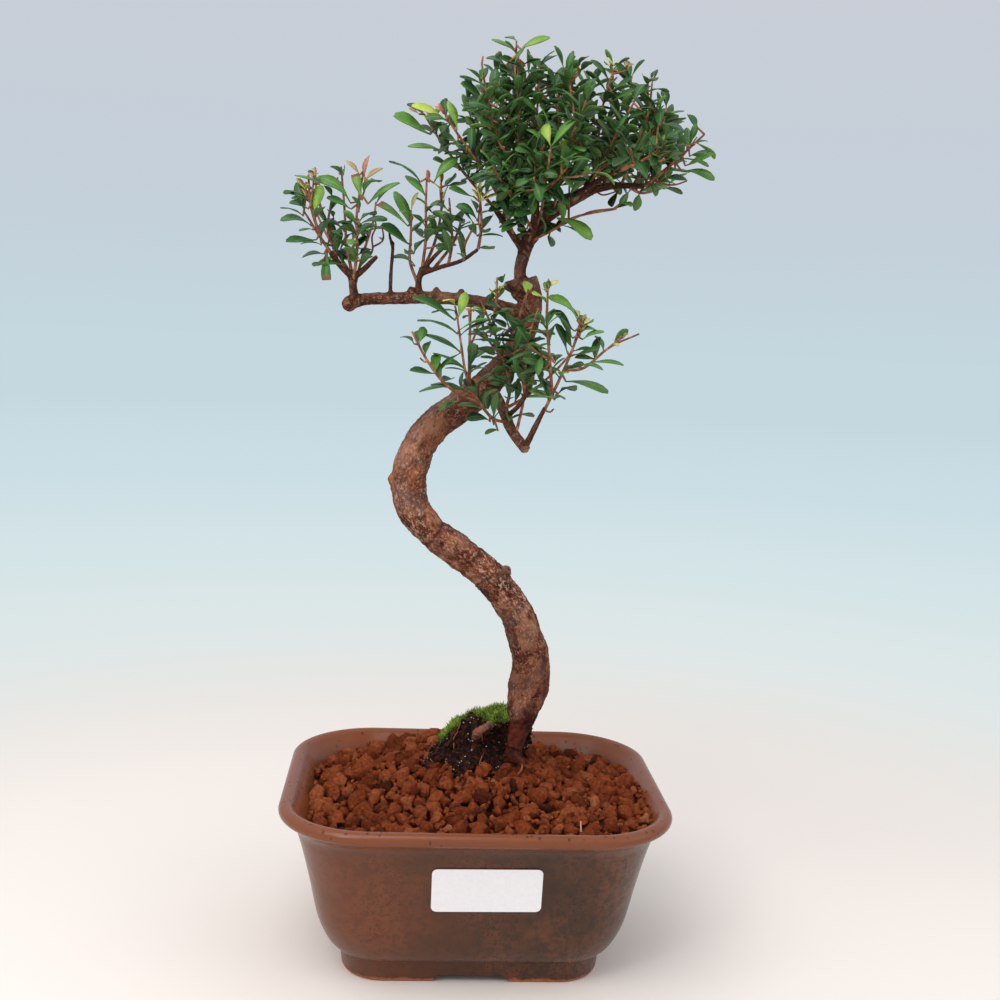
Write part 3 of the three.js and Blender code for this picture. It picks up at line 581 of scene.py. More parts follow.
# The wood: one trunk that leaves its old root, climbs in an S and ends in a sawn knob, and the
# limbs that were kept on it. Bark flakes off in long flecks, and old wire has left rings.
LIMBS = {
    "trunk": (
        [
            (19, -10, 74), (17.6, -8, 84), (17.6, -6, 92), (19, -3, 100), (21, 1, 108),
            (24, 7, 118), (25, 9, 130), (22, 9, 139), (17, 8, 152), (3, 4, 170), (-12, 0, 182),
            (-24, -2, 191), (-31, -3, 199), (-34, -3, 208), (-34, -3, 216), (-32, -2, 224),
            (-28, -1, 232), (-22, 1, 239), (-14, 3, 245), (-2, 7, 255), (7, 10, 265),
            (13, 12, 275), (16.5, 12, 284), (17, 12, 293), (13.4, 12, 302.3),
        ],
        [
            3, 3.4, 3.9, 4.9, 7.6, 9.4, 8.6, 8.4, 7.6, 7.4, 7.3, 7, 7.4, 7.8, 8, 7.6, 7.4, 7.3,
            7.2, 6.6, 5.8, 5.3, 5, 5.4, 6.5,
        ],
    ),
    "cut_root": (
        [(13, 5, 98), (9.5, 0, 101), (7.2, -4.4, 103), (3.2, -10.5, 102.8), (-1.3, -16.5, 100.9)],
        [2.6, 2.3, 2.1, 1.8, 2],
    ),
    "sinker": (
        [(15, -8, 76), (16.5, -14.5, 80), (17, -18.4, 80.6), (17, -19.6, 74)],
        [1.6, 1.8, 1.9, 1.8],
    ),
    "small_root": (
        [(15, -5, 91), (17, -10, 90), (20, -13, 88.8), (21.4, -15, 86.5)],
        [2, 1.8, 1.6, 1.2],
    ),
    "leader": ([(15, 12, 296), (12, 12, 305), (13, 12, 313), (16, 12, 323)], [3, 2.8, 2.9, 3.2]),
    "left": (
        [
            (18, 12, 286), (6, 11, 290), (-6, 9, 292), (-23, 5, 293), (-41, 2, 292), (-54, 0, 291),
            (-63, -2, 289),
        ],
        [3.4, 3, 2.8, 2.8, 2.7, 2.7, 2.9],
    ),
    "low": ([(-1, 7, 255), (4, -5, 249), (9, -16, 238), (15, -24, 230)], [3, 2.4, 2.3, 2.3]),
    "top": (
        [(16, 12, 321), (22, 11, 330), (28, 10, 335), (34, 9, 339), (41, 8, 343)],
        [3.3, 3.1, 3, 2.9, 2.6],
    ),
    "top_right": ([(39, 8, 342), (51, 6, 345), (64, 2, 345)], [2, 1.6, 1.2]),
    "top_back": ([(21, 11, 329), (24, 23, 340), (30, 33, 352)], [1.9, 1.5, 1.2]),
    "back_left": ([(15, 12, 319), (9, 22, 333), (2, 31, 346)], [1.8, 1.4, 1.2]),
    "top_left": ([(14, 12, 314), (7, 10, 323), (-1, 7, 333)], [1.9, 1.6, 1.3]),
    "top_front": ([(16, 11, 320), (17, 0, 328), (16, -9, 338)], [1.8, 1.4, 1.2]),
    "front_right": ([(32, 9, 338), (40, -3, 344), (48, -12, 348)], [1.7, 1.4, 1.1]),
    "left_pad": ([(-60, -2, 288), (-61, -3, 296), (-62, -3, 303)], [2.2, 1.9, 1.7]),
    "left_pad_outer": ([(-61.5, -3, 300), (-67, -5, 305), (-71, -7, 310)], [1.7, 1.4, 1.2]),
    "left_pad_inner": ([(-61.5, -3, 299), (-56, -5, 304), (-51, -8, 309)], [1.5, 1.3, 1]),
    "middle_pad": ([(-32, 4, 292), (-33, 4, 299), (-31.5, 3, 306)], [1.9, 1.5, 1.3]),
    "middle_pad_arm": (
        [(-32, 3.5, 303), (-24, 1, 306), (-15, -4, 309), (-8, -8, 314)],
        [1.3, 1.1, 1, 0.9],
    ),
    "middle_stub": ([(-31, 3, 305), (-26, 0, 311), (-22, -2, 315)], [1.1, 1, 0.9]),
    "dead_twig": ([(-45, 2, 290), (-45, 2, 303), (-44.5, 2, 316)], [1, 0.9, 0.8]),
    "dead_twig_fork": ([(-44.6, 2, 313), (-46, 2, 318), (-46.5, 2, 321)], [0.8, 0.7, 0.6]),
    "low_side": ([(14.5, -24, 231), (18.6, -27, 241), (22, -28.5, 249)], [1.6, 1.3, 0.9]),
    "low_stub": ([(7, -12, 243), (11, -20, 248), (15, -24, 255)], [1.3, 1.1, 1]),
}
# Cut knobs, a bump and bud stubs: the middle and the radii of each.
KNOBS = [
    ((9.8, 12, 299.8), (5, 5.2, 2.8)),
    ((13, 12, 296.5), (4.6, 5.2, 3.6)),
    ((-62.5, -2, 288.5), (3.3, 3.3, 3.5)),
    ((-41, -3, 213), (2.5, 2.9, 3.3)),
    ((10.6, 3, 172.3), (2.8, 3.6, 3)),
    ((18, 2, 106), (5, 5.5, 5)),
    ((-36, 2, 295), (1.8, 1.7, 2.5)),
    ((-25, 5, 295.5), (1.7, 1.7, 2.3)),
    ((-14, 7, 295.5), (1.7, 1.7, 2.1)),
    ((-1, 10, 294), (1.7, 1.7, 2.1)),
]
# The middle of each ring as x and z, and how deep it is. Scars are on the front, by the pixel they
# are seen at and their size in pixels. Sawn ends are bare within a distance of a place.
WIRE_RINGS = [(-21.8, 190.6, 1), (-5.2, 178.6, 0.6), (4.2, 172.1, 0.7), (-31, 228, 0.35)]
SCARS = [(442, 545, 4), (510, 595, 5), (511, 568, 5), (469, 563, 3)]
SAWN = [
    ((20.4, 11, 304), 2.6), ((15.5, -24.8, 229.2), 2.4), ((34, 4, 337), 2.6),
    ((-2.6, -18.2, 99.6), 1.9),
]
VOXEL = 0.62
# Heights: the wood is wet below the first and damp below the second. Above the third the thin limbs
# have old dark bark, and above the fourth the wood gets painted shade, as under the leaves.
WET_TO, DAMP_TO, OLD_FROM, SHADED_FROM = 121, 162, 180, 226


class Line:
    """A smooth line through a few points, with radii, walked by its share of the length."""

    def __init__(self, points, radii=(1, 1), steps=12):
        knots = [Vector(p) for p in points]
        knots = [2 * knots[0] - knots[1]] + knots + [2 * knots[-1] - knots[-2]]
        rows = list(zip(knots, knots[1:], knots[2:], knots[3:]))
        self.places, self.radii = [], []
        for row, (a, b, c, d) in enumerate(rows):
            for k in range(steps + (row == len(rows) - 1)):
                t = k / steps
                bend = (2 * a - 5 * b + 4 * c - d) * t * t + (3 * (b - c) + d - a) * t**3
                self.places.append(b + ((c - a) * t + bend) / 2)
                along = (row + t) / len(rows) * (len(radii) - 1)
                first = min(int(along), len(radii) - 2)
                more = (radii[first + 1] - radii[first]) * (along - first)
                self.radii.append(radii[first] + more)
        self.walked = [0.0]
        for a, b in zip(self.places, self.places[1:]):
            self.walked.append(self.walked[-1] + (b - a).length)
        self.length = self.walked[-1]

    def at(self, share):
        """The place at a share of the length."""
        goal = share * self.length
        for k in range(len(self.walked) - 1):
            if self.walked[k + 1] >= goal:
                part = (goal - self.walked[k]) / (self.walked[k + 1] - self.walked[k])
                return self.places[k].lerp(self.places[k + 1], part)
        return self.places[-1].copy()

    def way(self, share):
        """The direction at a share of the length."""
        return (self.at(min(1, share + 0.01)) - self.at(max(0, share - 0.01))).normalized()


def round_rods(lines, sides=3):
    """A mesh of round rods along lines, each with its radii."""
    data = bpy.data.curves.new("rods", "CURVE")
    data.dimensions = "3D"
    data.bevel_depth = 1
    data.bevel_resolution = sides
    data.use_fill_caps = True
    for line in lines:
        spline = data.splines.new("POLY")
        spline.points.add(len(line.places) - 1)
        for point, place, radius in zip(spline.points, line.places, line.radii):
            point.co = (*place, 1)
            point.radius = radius
    rods = bpy.data.objects.new("rods", data)
    bpy.context.scene.collection.objects.link(rods)
    bpy.context.view_layer.update()
    mesh = bpy.data.meshes.new_from_object(
        rods.evaluated_get(bpy.context.evaluated_depsgraph_get())
    )
    bpy.data.objects.remove(rods)
    return mesh


# Bark: dull, pinkish brown with lighter flecks a few millimetres long that follow the wood, dark
# cracks, and sawn ends of bare tan wood. The attribute grain holds each place as if its limb were
# straight, so that flecks follow the bends.
bark = new_finish("flaking_bark", IOR=1.45, Specular_IOR_Level=0.22)
grain = add_node(bark, "Attribute", {}, attribute_name="grain").outputs["Vector"]
along = add_node(bark, "Mapping", {"Vector": grain, "Scale": (1, 1, 0.75)}).outputs["Vector"]
patches = clouds(bark, along, 110, 5, 0.65)
skin = ramp(bark, patches, (0.37, "3d160b"), (0.5, "8a4427"), (0.63, "bd7a52"))
fleck = ramp(bark, clouds(bark, along, 820, 5, 0.8), (0.51, 0), (0.58, 1))
bleach = ramp(bark, clouds(bark, along, 70, 3, 0.6), (0.38, 0.3), (0.6, 1))
skin = mixed(bark, reckoned(bark, "MULTIPLY", fleck, bleach), skin, "d4ab90")
splits = clouds(bark, along, 300, 6, 0.7, 0.4)
skin = mixed(bark, ramp(bark, splits, (0.39, 0.85), (0.47, 0)), skin, "34190f")
# Besides the bark's own marks: painted light on sides that face up and to the left, and painted
# shade on sides turned away from there.
MARKS = {"painted_shade": "4d2013", "painted_light": "bf9684", "ring": "521f12", "old": "45271b", "sawn": "b98d6c"}
for key, shade in MARKS.items():
    skin = mixed(bark, carried(bark, key), skin, shade)
damp = carried(bark, "damp")
feed(
    bark,
    Base_Color=mixed(bark, damp, skin, "8a5742", "MULTIPLY"),
    Roughness=ranged(bark, damp, 0, 1, 0.8, 0.6),
    Normal=bumps(bark, splits, 1, 0.0032),
)

limbs = {name: Line(points, radii) for name, (points, radii) in LIMBS.items()}
rods = bmesh.new()
rods.from_mesh(round_rods(limbs.values(), 5))
for middle, radii in KNOBS:
    size = Matrix.Translation(middle) @ Matrix.Diagonal((*radii, 1))
    bmesh.ops.create_icosphere(rods, subdivisions=3, radius=1, matrix=size)
wood_mesh = finished(
    mesh_of("wood", rods),
    ("REMESH", {"mode": "VOXEL", "voxel_size": VOXEL}),
    ("SMOOTH", {"factor": 0.5, "iterations": 3}),
)

samples = []
for name, line in limbs.items():
    side = line.way(0).orthogonal().normalized()
    for k, place in enumerate(line.places):
        forward = line.way(line.walked[k] / line.length)
        side = (side - forward * side.dot(forward)).normalized()
        samples.append((place, side, forward, line.walked[k], line.radii[k], name))
nearest = KDTree(len(samples))
for k, sample in enumerate(samples):
    nearest.insert(sample[0], k)
nearest.balance()
ring_marks = [(samples[nearest.find((x, 2, z))[1]][3], deep) for x, z, deep in WIRE_RINGS]

wood = bmesh.new()
wood.from_mesh(wood_mesh)
wood.normal_update()
grain = wood.verts.layers.float_vector.new("grain")
layers = {key: wood.verts.layers.float.new(key) for key in [*MARKS, "damp"]}
for point in wood.verts:
    middle, side, forward, walked, radius, name = samples[nearest.find(point.co)[1]]
    offset = point.co - middle
    spot = Vector((offset.dot(side), offset.dot(forward.cross(side)), walked + offset.dot(forward)))
    point[grain] = spot * 0.001
    thick = min(1, radius / 7)
    swell = 0.65 * noise.noise(Vector((spot.x / 6, spot.y / 6, spot.z / 11)))
    flake = 0.55 * noise.fractal(Vector((spot.x / 2, spot.y / 2, spot.z / 3.6)), 0.7, 2, 3)
    ring = scar = 0
    if name == "trunk":
        for mark, deep in ring_marks:
            ring = max(ring, deep * math.exp(-((spot.z - mark + swell) ** 2) / 0.7))
    u, v, _ = in_picture(point.co)
    for a, b, reach in SCARS:
        if point.normal.y < 0:
            scar = max(scar, 1 - math.hypot(u - a, v - b) / reach)
    patchy = 0.7 + 0.5 * noise.noise(spot / 2)
    point[layers["ring"]] = max(1.1 * ring * patchy, min(1, 1.6 * scar))
    # Painted light and painted shade, from how each place faces the light above and to the left.
    faces_sun = point.normal.dot(Vector((-0.35, -0.25, 0.9)))
    point[layers["painted_light"]] = min(0.36, max(0, 0.26 * faces_sun + 0.45 * noise.noise(spot / 9)))
    point[layers["painted_shade"]] = min(0.75, max(0, -0.6 * faces_sun + 0.55 * noise.noise(spot / 7)))
    # Painted shade on the wood high up, under the leaves, in the dark colour of old bark.
    shaded = max(0, min(0.45, (point.co.z - SHADED_FROM) / 30))
    aged = min(0.75, (4.5 - radius) / 4) if point.co.z > OLD_FROM or name == "sinker" else 0
    point[layers["old"]] = max(shaded, aged)
    if name == "cut_root":
        thick = 1
        point[layers["damp"]] = 0.5
    if name in ("trunk", "small_root", "sinker"):
        wet = min(1, max(0, (WET_TO + 10 * noise.noise(spot / 4) - point.co.z) / 15))
        point[layers["damp"]] = max(wet, 0.55 * min(1, max(0, (DAMP_TO - point.co.z) / 30)))
        thick = max(thick, wet)
    for spot_sawn, reach in SAWN:
        away = (point.co - Vector(spot_sawn)).length
        point[layers["sawn"]] = max(point[layers["sawn"]], min(1, max(0, 1.4 - away / reach)))
    point.co += point.normal * (thick * (swell + flake) - 0.4 * ring - max(0, scar))
wood_mesh = mesh_of("wood", wood)
set_piece("trunk_and_limbs", wood_mesh, bark, ["trunk"])


# The old root ball: dark, damp humus, finer than the soil, that the roots hold together round the
# foot of the trunk. Crumbs, pale grit and broken rootlets stick to it.
humus = new_finish("damp_humus", IOR=1.4, Specular_IOR_Level=0.2)
crumbs = clouds(humus, position(humus), 420, 5, 0.75)
dark = ramp(humus, crumbs, (0.35, "0a0402"), (0.51, "1d0c06"), (0.67, "6a3019"))
feed(
    humus,
    Base_Color=mixed(humus, carried(humus, "pale"), dark, "cfc2b2"),
    Roughness=ramp(humus, crumbs, (0.4, 0.85), (0.62, 0.22)),
    Normal=bumps(humus, crumbs, 1, 0.0016),
)

RIDGE = [(-13, 5, 85), (-8, 5, 89), (-3, 5, 93), (2, 5, 95.5), (9, 5, 96.5), (15, 5, 96)]
RIDGE_RADII = [7, 9, 9.8, 10.5, 11.5, 11]
ROOT_LUMP = ((10, -3, 103), 4.4)
SUNK = 5
BALL_SHOWN_FROM = 70
HEAP_TOP = 83
CRUMBS = 1500
GRIT = 260
HEAPED = 1300
HEAPED_SIZES = (1.2, 1.6, 2, 2.6, 3.2, 4, 5, 6.2)
ROOTLETS = 46
rough = bmesh.new()
rough.from_mesh(round_rods([Line(RIDGE, RIDGE_RADII)], 6))
for place, radius in ((RIDGE[0], RIDGE_RADII[0]), (RIDGE[-1], RIDGE_RADII[-1])):
    bmesh.ops.create_icosphere(
        rough, subdivisions=3, radius=radius, matrix=Matrix.Translation(place)
    )
bmesh.ops.create_icosphere(
    rough, subdivisions=3, radius=ROOT_LUMP[1], matrix=Matrix.Translation(ROOT_LUMP[0])
)
ball = Matrix.Translation(ROOT_BALL["centre"] - Vector((0, 0, SUNK)))
ball = ball @ Matrix.Diagonal((*ROOT_BALL["radii"], 1)) @ Matrix.Diagonal((1, 1, 0.95, 1))
bmesh.ops.create_icosphere(rough, subdivisions=4, radius=1, matrix=ball)
clod_mesh = finished(
    mesh_of("clod", rough),
    ("REMESH", {"mode": "VOXEL", "voxel_size": 1.1}),
    ("SMOOTH", {"factor": 0.5, "iterations": 4}),
)
clod = bmesh.new()
clod.from_mesh(clod_mesh)
clod.normal_update()
for point in clod.verts:
    lumpy = 1.5 * noise.fractal(point.co / 9, 0.9, 2, 3) + 0.9 * noise.noise(point.co / 2.3)
    point.co += point.normal * (lumpy - 0.6)
clod.normal_update()
surface = [(point.co.copy(), point.normal.copy()) for point in clod.verts]
surface = [(place, out) for place, out in surface if place.z > BALL_SHOWN_FROM]
clod_copy = clod.copy()
clod.verts.layers.float.new("pale")
clod_mesh = mesh_of("humus_ball", clod)
set_piece("humus_ball", clod_mesh, humus, ["root_ball"])

chance = random.Random(31)
crumb_rows = []
for k in range(CRUMBS):
    middle, out = chance.choice(surface)
    grit = k < GRIT
    across = chance.uniform(0.4, 0.75) if grit else chance.uniform(0.8, 3)
    turn = Matrix.Rotation(chance.uniform(0, 6), 4, out) @ Matrix.Scale(across, 4)
    place = Matrix.Translation(middle + out * 0.3 * grit) @ turn
    crumb_rows.append((chance.choice(lumps), place, {"pale": grit}))
set_piece("humus_crumbs", mesh_of("crumbs", planted(crumb_rows)), humus, crease=70)

# Soil that was heaped against the ball when it was planted: akadama granules of 1 to 6 mm, up to
# a wavy edge.
heaped = []
low_points = [(p, out) for p, out in surface if p.z < 86 and p.y < 20]
for _ in range(HEAPED):
    middle, out = chance.choice(low_points)
    if middle.z > HEAP_TOP + 7 * noise.noise(middle / 6) + 0.12 * middle.x:
        continue
    across = chance.choice(HEAPED_SIZES)
    turn = Matrix.Rotation(chance.uniform(0, 6), 4, out) @ Matrix.Scale(across, 4)
    place = Matrix.Translation(middle + out * 0.15 * across) @ turn
    shade = min(1, max(0, chance.gauss(0.4, 0.2)))
    heaped.append((chance.choice(lumps), place, {"tone": shade}))
set_piece("heaped_granules", mesh_of("heaped", planted(heaped)), akadama, crease=48)

ROOT_TIP = [(20.6, -15, 88.4), (20.4, -16.4, 86.8), (18.9, -17.2, 84.6)]
rootlets = []
for _ in range(ROOTLETS):
    middle, out = chance.choice(surface)
    way = out.cross(Vector([chance.gauss(0, 1) for _ in "xyz"])).normalized()
    long = chance.uniform(3, 8)
    bow = middle + out * chance.uniform(0.4, 1.6) + way * long / 2
    rootlets.append(Line([middle, bow, middle + way * long - out * 0.4], (0.32, 0.16), 5))
rootlets.append(Line(ROOT_TIP, (0.35, 0.45, 0.3), 5))
fibre = new_finish("root_fibre", Base_Color="94563b", Roughness=0.7, Specular_IOR_Level=0.2)
set_piece("rootlets", round_rods(rootlets, 0), fibre)

# A broken straw of dry grass, about 1 mm thick. It stands in the soil in front, with its foot
# between the granules.
STRAW = [(43.4, -50, 66), (43.6, -49.4, 71), (43.3, -49, 75.6)]
straw = new_finish("pale_straw", Base_Color="e6bd92", Roughness=0.6)
set_piece("straw", round_rods([Line(STRAW, (0.45, 0.32))], 1), straw)


# Moss on the upper left of the root ball: a thin mat of upright leafy stems 1 to 3 mm tall, yellow
# green at the tips and dark between them. It hangs over the front edge and runs down the back.
MOSS_EDGE = [
    (428, 747), (440, 743), (448, 736), (456, 729), (463, 721), (470, 714), (476, 715), (484, 719),
    (489, 722), (498, 725), (509, 722),
]
MOSS_THICK = 0.7
MOSS_LOWEST = 84
MOSS_LOWEST_BEHIND = 90
LEAFY_STEMS = 6

moss = new_finish("living_moss", Roughness=0.8, Specular_IOR_Level=0.15)
uneven = ranged(moss, clouds(moss, position(moss), 260, 3), 0, 1, 0.2, 1.6)
lush = reckoned(moss, "MULTIPLY", uneven, carried(moss, "tip"))
greens = [(0, "22180b"), (0.35, "384012"), (0.7, "5f7c26"), (1, "a8bd54")]
feed(moss, Base_Color=ramp(moss, lush, *greens))


def mossy(place, normal):
    """Whether moss grows here: above its edge as it is seen in front, and low down behind."""
    u, v, _ = in_picture(place)
    if place.z < MOSS_LOWEST or not MOSS_EDGE[0][0] < u < MOSS_EDGE[-1][0]:
        return False
    if normal.dot(CAMERA_PLACE - place) < 0:
        return place.z > MOSS_LOWEST_BEHIND + 5 * noise.noise(place / 6)
    for (a, low), (b, high) in zip(MOSS_EDGE, MOSS_EDGE[1:]):
        if a <= u <= b:
            return v < low + (high - low) * (u - a) / (b - a) + 2 * noise.noise(place)
    return False


clod_copy.normal_update()
bare_faces = [
    face for face in clod_copy.faces if not all(mossy(p.co, p.normal) for p in face.verts)
]
bmesh.ops.delete(clod_copy, geom=bare_faces, context="FACES")
tufts = [(point.co.copy(), point.normal.copy()) for point in clod_copy.verts]
for point in clod_copy.verts:
    point.co -= point.normal * 0.3
bmesh.ops.solidify(clod_copy, geom=clod_copy.faces[:], thickness=-MOSS_THICK)
bmesh.ops.recalc_face_normals(clod_copy, faces=clod_copy.faces)
clod_copy.verts.layers.float.new("tip")
for point in clod_copy.verts:
    point[clod_copy.verts.layers.float["tip"]] = 0.15
spike = bmesh.new()
spike_tip = spike.verts.layers.float.new("tip")
bmesh.ops.create_cone(
    spike, segments=3, radius1=0.34, radius2=0, depth=1, matrix=Matrix.Translation((0, 0, 0.5))
)
for point in spike.verts:
    point[spike_tip] = 0.2 + 0.8 * point.co.z
spike_mesh = mesh_of("spike", spike)
chance = random.Random(77)
spikes = []
for middle, out in tufts:
    for _ in range(LEAFY_STEMS):
        jitter = Vector([chance.uniform(-0.8, 0.8) for _ in "xyz"])
        lean = out + Vector((0, 0, 0.8)) + 0.5 * Vector([chance.gauss(0, 1) for _ in "xyz"])
        turn = lean.to_track_quat("Z", "X").to_matrix().to_4x4()
        long = Matrix.Diagonal((1, 1, chance.uniform(1.2, 3.4), 1))
        spikes.append((spike_mesh, Matrix.Translation(middle + jitter) @ turn @ long, {}))
set_piece("moss_mat", mesh_of("moss", planted(spikes, clod_copy)), moss, ["moss"])


# The leaves: small, oval, leathery and glossy, in opposite pairs on thin orange-brown shoots. They
# come out pink or copper, turn yellow and then lime, and end deep green with a paler underside.
# Those that can be told apart in the photograph are placed by where their foot and tip are seen.
USUAL_LEAVES = (3, 12.5, 0.3)

# A spray is one shoot and those that branch from it. Each gives the limb or shoot that carries it
# and at what share of that, its points, its pairs of leaves, their length and where they begin.
SHOOTS = {
    "left_pad": [
        [
            ("left_pad_outer", 1, [(-76, -9, 317), (-82, -12, 326)], 3, 15.5, 0.3),
            (0, 0.35, [(-79, -13, 328), (-80.5, -12, 341)], 2, 9, 0.5),
        ],
        [
            ("left_pad_outer", 0.55, [(-70.5, 1, 313), (-73, 6, 322), (-72, 8, 333)], 3, 12, 0.4),
            (0, 0.55, [(-78, 5, 335), (-79, 4, 346)], 2, 8, 0.5),
        ],
        [("left_pad", 1, [(-64.5, 0, 314), (-66, 4, 329), (-68, 5, 347)], 4, 12, 0.35)],
        [("left_pad", 0.6, [(-59.5, -9, 311), (-60, -9, 327), (-57, -8, 349)], 4, 14, 0.3)],
        [("left_pad", 0.85, [(-67, 7, 308), (-75, 16, 320), (-80, 20, 330)], 3, 12, 0.35)],
        [("left_pad", 0.42, [(-57.5, 9, 311), (-54, 16, 325), (-53, 18, 334)], 3, 12, 0.4)],
    ],
    "middle_pad": [
        [("middle_pad", 0.42, [(-37, 2, 308), (-37, 0, 317), (-37, -1, 325)], 2, 14, 0.45)],
        [("middle_pad", 1, [(-30.5, 0, 318), (-31, -3, 332), (-31, -4, 346)], 4, 12, 0.35)],
        [("middle_pad", 0.7, [(-26.5, 10, 317), (-24, 14, 333), (-25, 15, 347)], 3, 12.5, 0.4)],
        [("middle_pad_arm", 0.45, [(-19, 3, 318), (-21, 4, 336)], 2, 12.5, 0.35)],
        [("middle_pad_arm", 0.75, [(-14, -9, 315), (-11, -12, 322)], 2, 11.5, 0.6)],
        [("middle_pad_arm", 1, [(-7, -7, 324), (-8, -6, 336)], 3, 11.5, 0.25)],
        [("middle_pad_arm", 0.2, [(-18, 12, 318), (-14, 19, 332)], 2, 12.5, 0.4)],
    ],
    "low_pad": [
        [
            (
                "low", 0.96, [(21, -28, 246), (28, -31, 263), (33, -29, 276), (37, -27, 288)],
                4, 12.5, 0.45,
            ),
            (0, 0.6, [(37, -32, 266), (48, -28, 275), (61, -22, 281)]),
            (0, 0.42, [(22, -35, 270), (20, -36, 285), (20, -35, 296)], 3, 9, 0.4),
        ],
        [
            (
                "low", 0.62, [(-1, -26, 244), (-11, -37, 258), (-15, -42, 274), (-17, -43, 285)],
                5, 13, 0.35,
            ),
            (0, 0.38, [(-19, -44, 256), (-28, -48, 266), (-35, -46, 278)], 4, 12, 0.35),
            (0, 0.55, [(-11, -31, 274), (-11, -27, 289)], 3, 11.5, 0.35),
        ],
        [
            ("low", 0.5, [(8, -9, 257), (2, -9, 275), (-7, -12, 294)], 4, 11.5, 0.3),
            (0, 0.72, [(0, -17, 291), (0, -18, 302)], 2, 8, 0.5),
        ],
        [
            ("low", 0.8, [(14, -15, 253), (14, -17, 274), (18, -19, 290)], 4, 11.5, 0.3),
            (0, 0.35, [(10, -11, 280), (14, -12, 298)], 2, 12, 0.5),
        ],
        [("low", 0.45, [(16, -4, 252), (28, -2, 263), (36, -3, 273)], 3, 11.5, 0.35)],
    ],
    "crown": [
        [("top_left", 1, [(-15, 4, 347), (-26, 2, 360), (-33, 0, 370)], 4, 13, 0.3)],
        [
            (
                "top_left", 0.35, [(1, 1, 336), (-10, -5, 351), (-20, -9, 363), (-27, -10, 373)],
                4, 12, 0.3,
            ),
        ],
        [
            (
                "top_front", 0.45, [(8, -7, 346), (-2, -13, 360), (-7, -16, 375), (-10, -16, 389)],
                5, 12.5, 0.25,
            ),
            (0, 0.28, [(7, -3, 370), (6, -2, 396)], 3, 12.5, 0.45),
        ],
        [("top_front", 0.6, [(14, -12, 346), (17, -23, 357)], 2, 12, 0.3)],
        [("top_front", 0.25, [(6, -12, 335), (-4, -26, 346)], 3, 12, 0.4)],
        [("top_front", 1, [(21, -18, 341), (26, -30, 347)], 3, 12, 0.3)],
        [("top_left", 0.75, [(8, 9, 352), (2, 6, 373), (0, 4, 386)])],
        [
            ("leader", 0.93, [(17, 6, 345), (15.5, 1, 368), (15, -2, 391)], 4, 12.5, 0.35),
            (
                "leader", 0.8,
                [(18.3, -3, 329.6), (18.3, -16, 338.4), (18.5, -27, 346.6), (18.7, -33, 354.6)],
                0, 12, 0.6,
            ),
        ],
        [("top_back", 0.5, [(28, 17, 362), (26, 20, 380), (28, 22, 397)])],
        [("top_back", 0.72, [(21, 25, 360), (14, 27, 378), (10, 28, 393)])],
        [("top_back", 1, [(35, 37, 372), (43, 40, 393)])],
        [("top_back", 0.86, [(43, 37, 357), (56, 44, 367)])],
        [("back_left", 0.5, [(6, 23, 348), (-2, 28, 366), (-9, 30, 382)])],
        [("back_left", 1, [(-6, 40, 362), (-12, 44, 378)])],
        [("back_left", 0.82, [(15, 38, 352), (21, 46, 366), (23, 48, 381)])],
        [("top", 0.99, [(43, 8, 360), (44, 6, 377), (48, 6, 394)])],
        [("top", 0.78, [(35, 1, 354), (31, -5, 371), (28, -6, 385)])],
        [("top", 0.45, [(26, -3, 344), (27, -18, 356), (33, -26, 375)], 4, 12.5, 0.3)],
        [("top_right", 0.25, [(52, 18, 353), (66, 30, 366), (78, 35, 378)])],
        [("top_right", 0.42, [(53, 13, 361), (57, 18, 378), (58, 18, 394)])],
        [("top_right", 0.6, [(58, -4, 359), (62, -8, 374), (63, -8, 387)], 4, 12.5, 0.3)],
        [("top_right", 0.8, [(69, 8, 362), (73, 10, 380)], 4, 12.5, 0.3)],
        [("top_right", 1, [(76, -4, 356), (87, -7, 367)], 3, 14, 0.2)],
        [("top_right", 0.7, [(65, 11, 343), (78, 20, 348)], 3, 12, 0.3)],
        [("front_right", 0.5, [(45, -13, 357), (54, -20, 377)])],
        [("front_right", 1, [(55, -22, 351), (64, -28, 356)], 3, 12, 0.2)],
        [("leader", 0.86, [(24, 0, 324), (34, -4, 330), (51, -6, 334)], 2, 12, 0.3)],
    ],
}

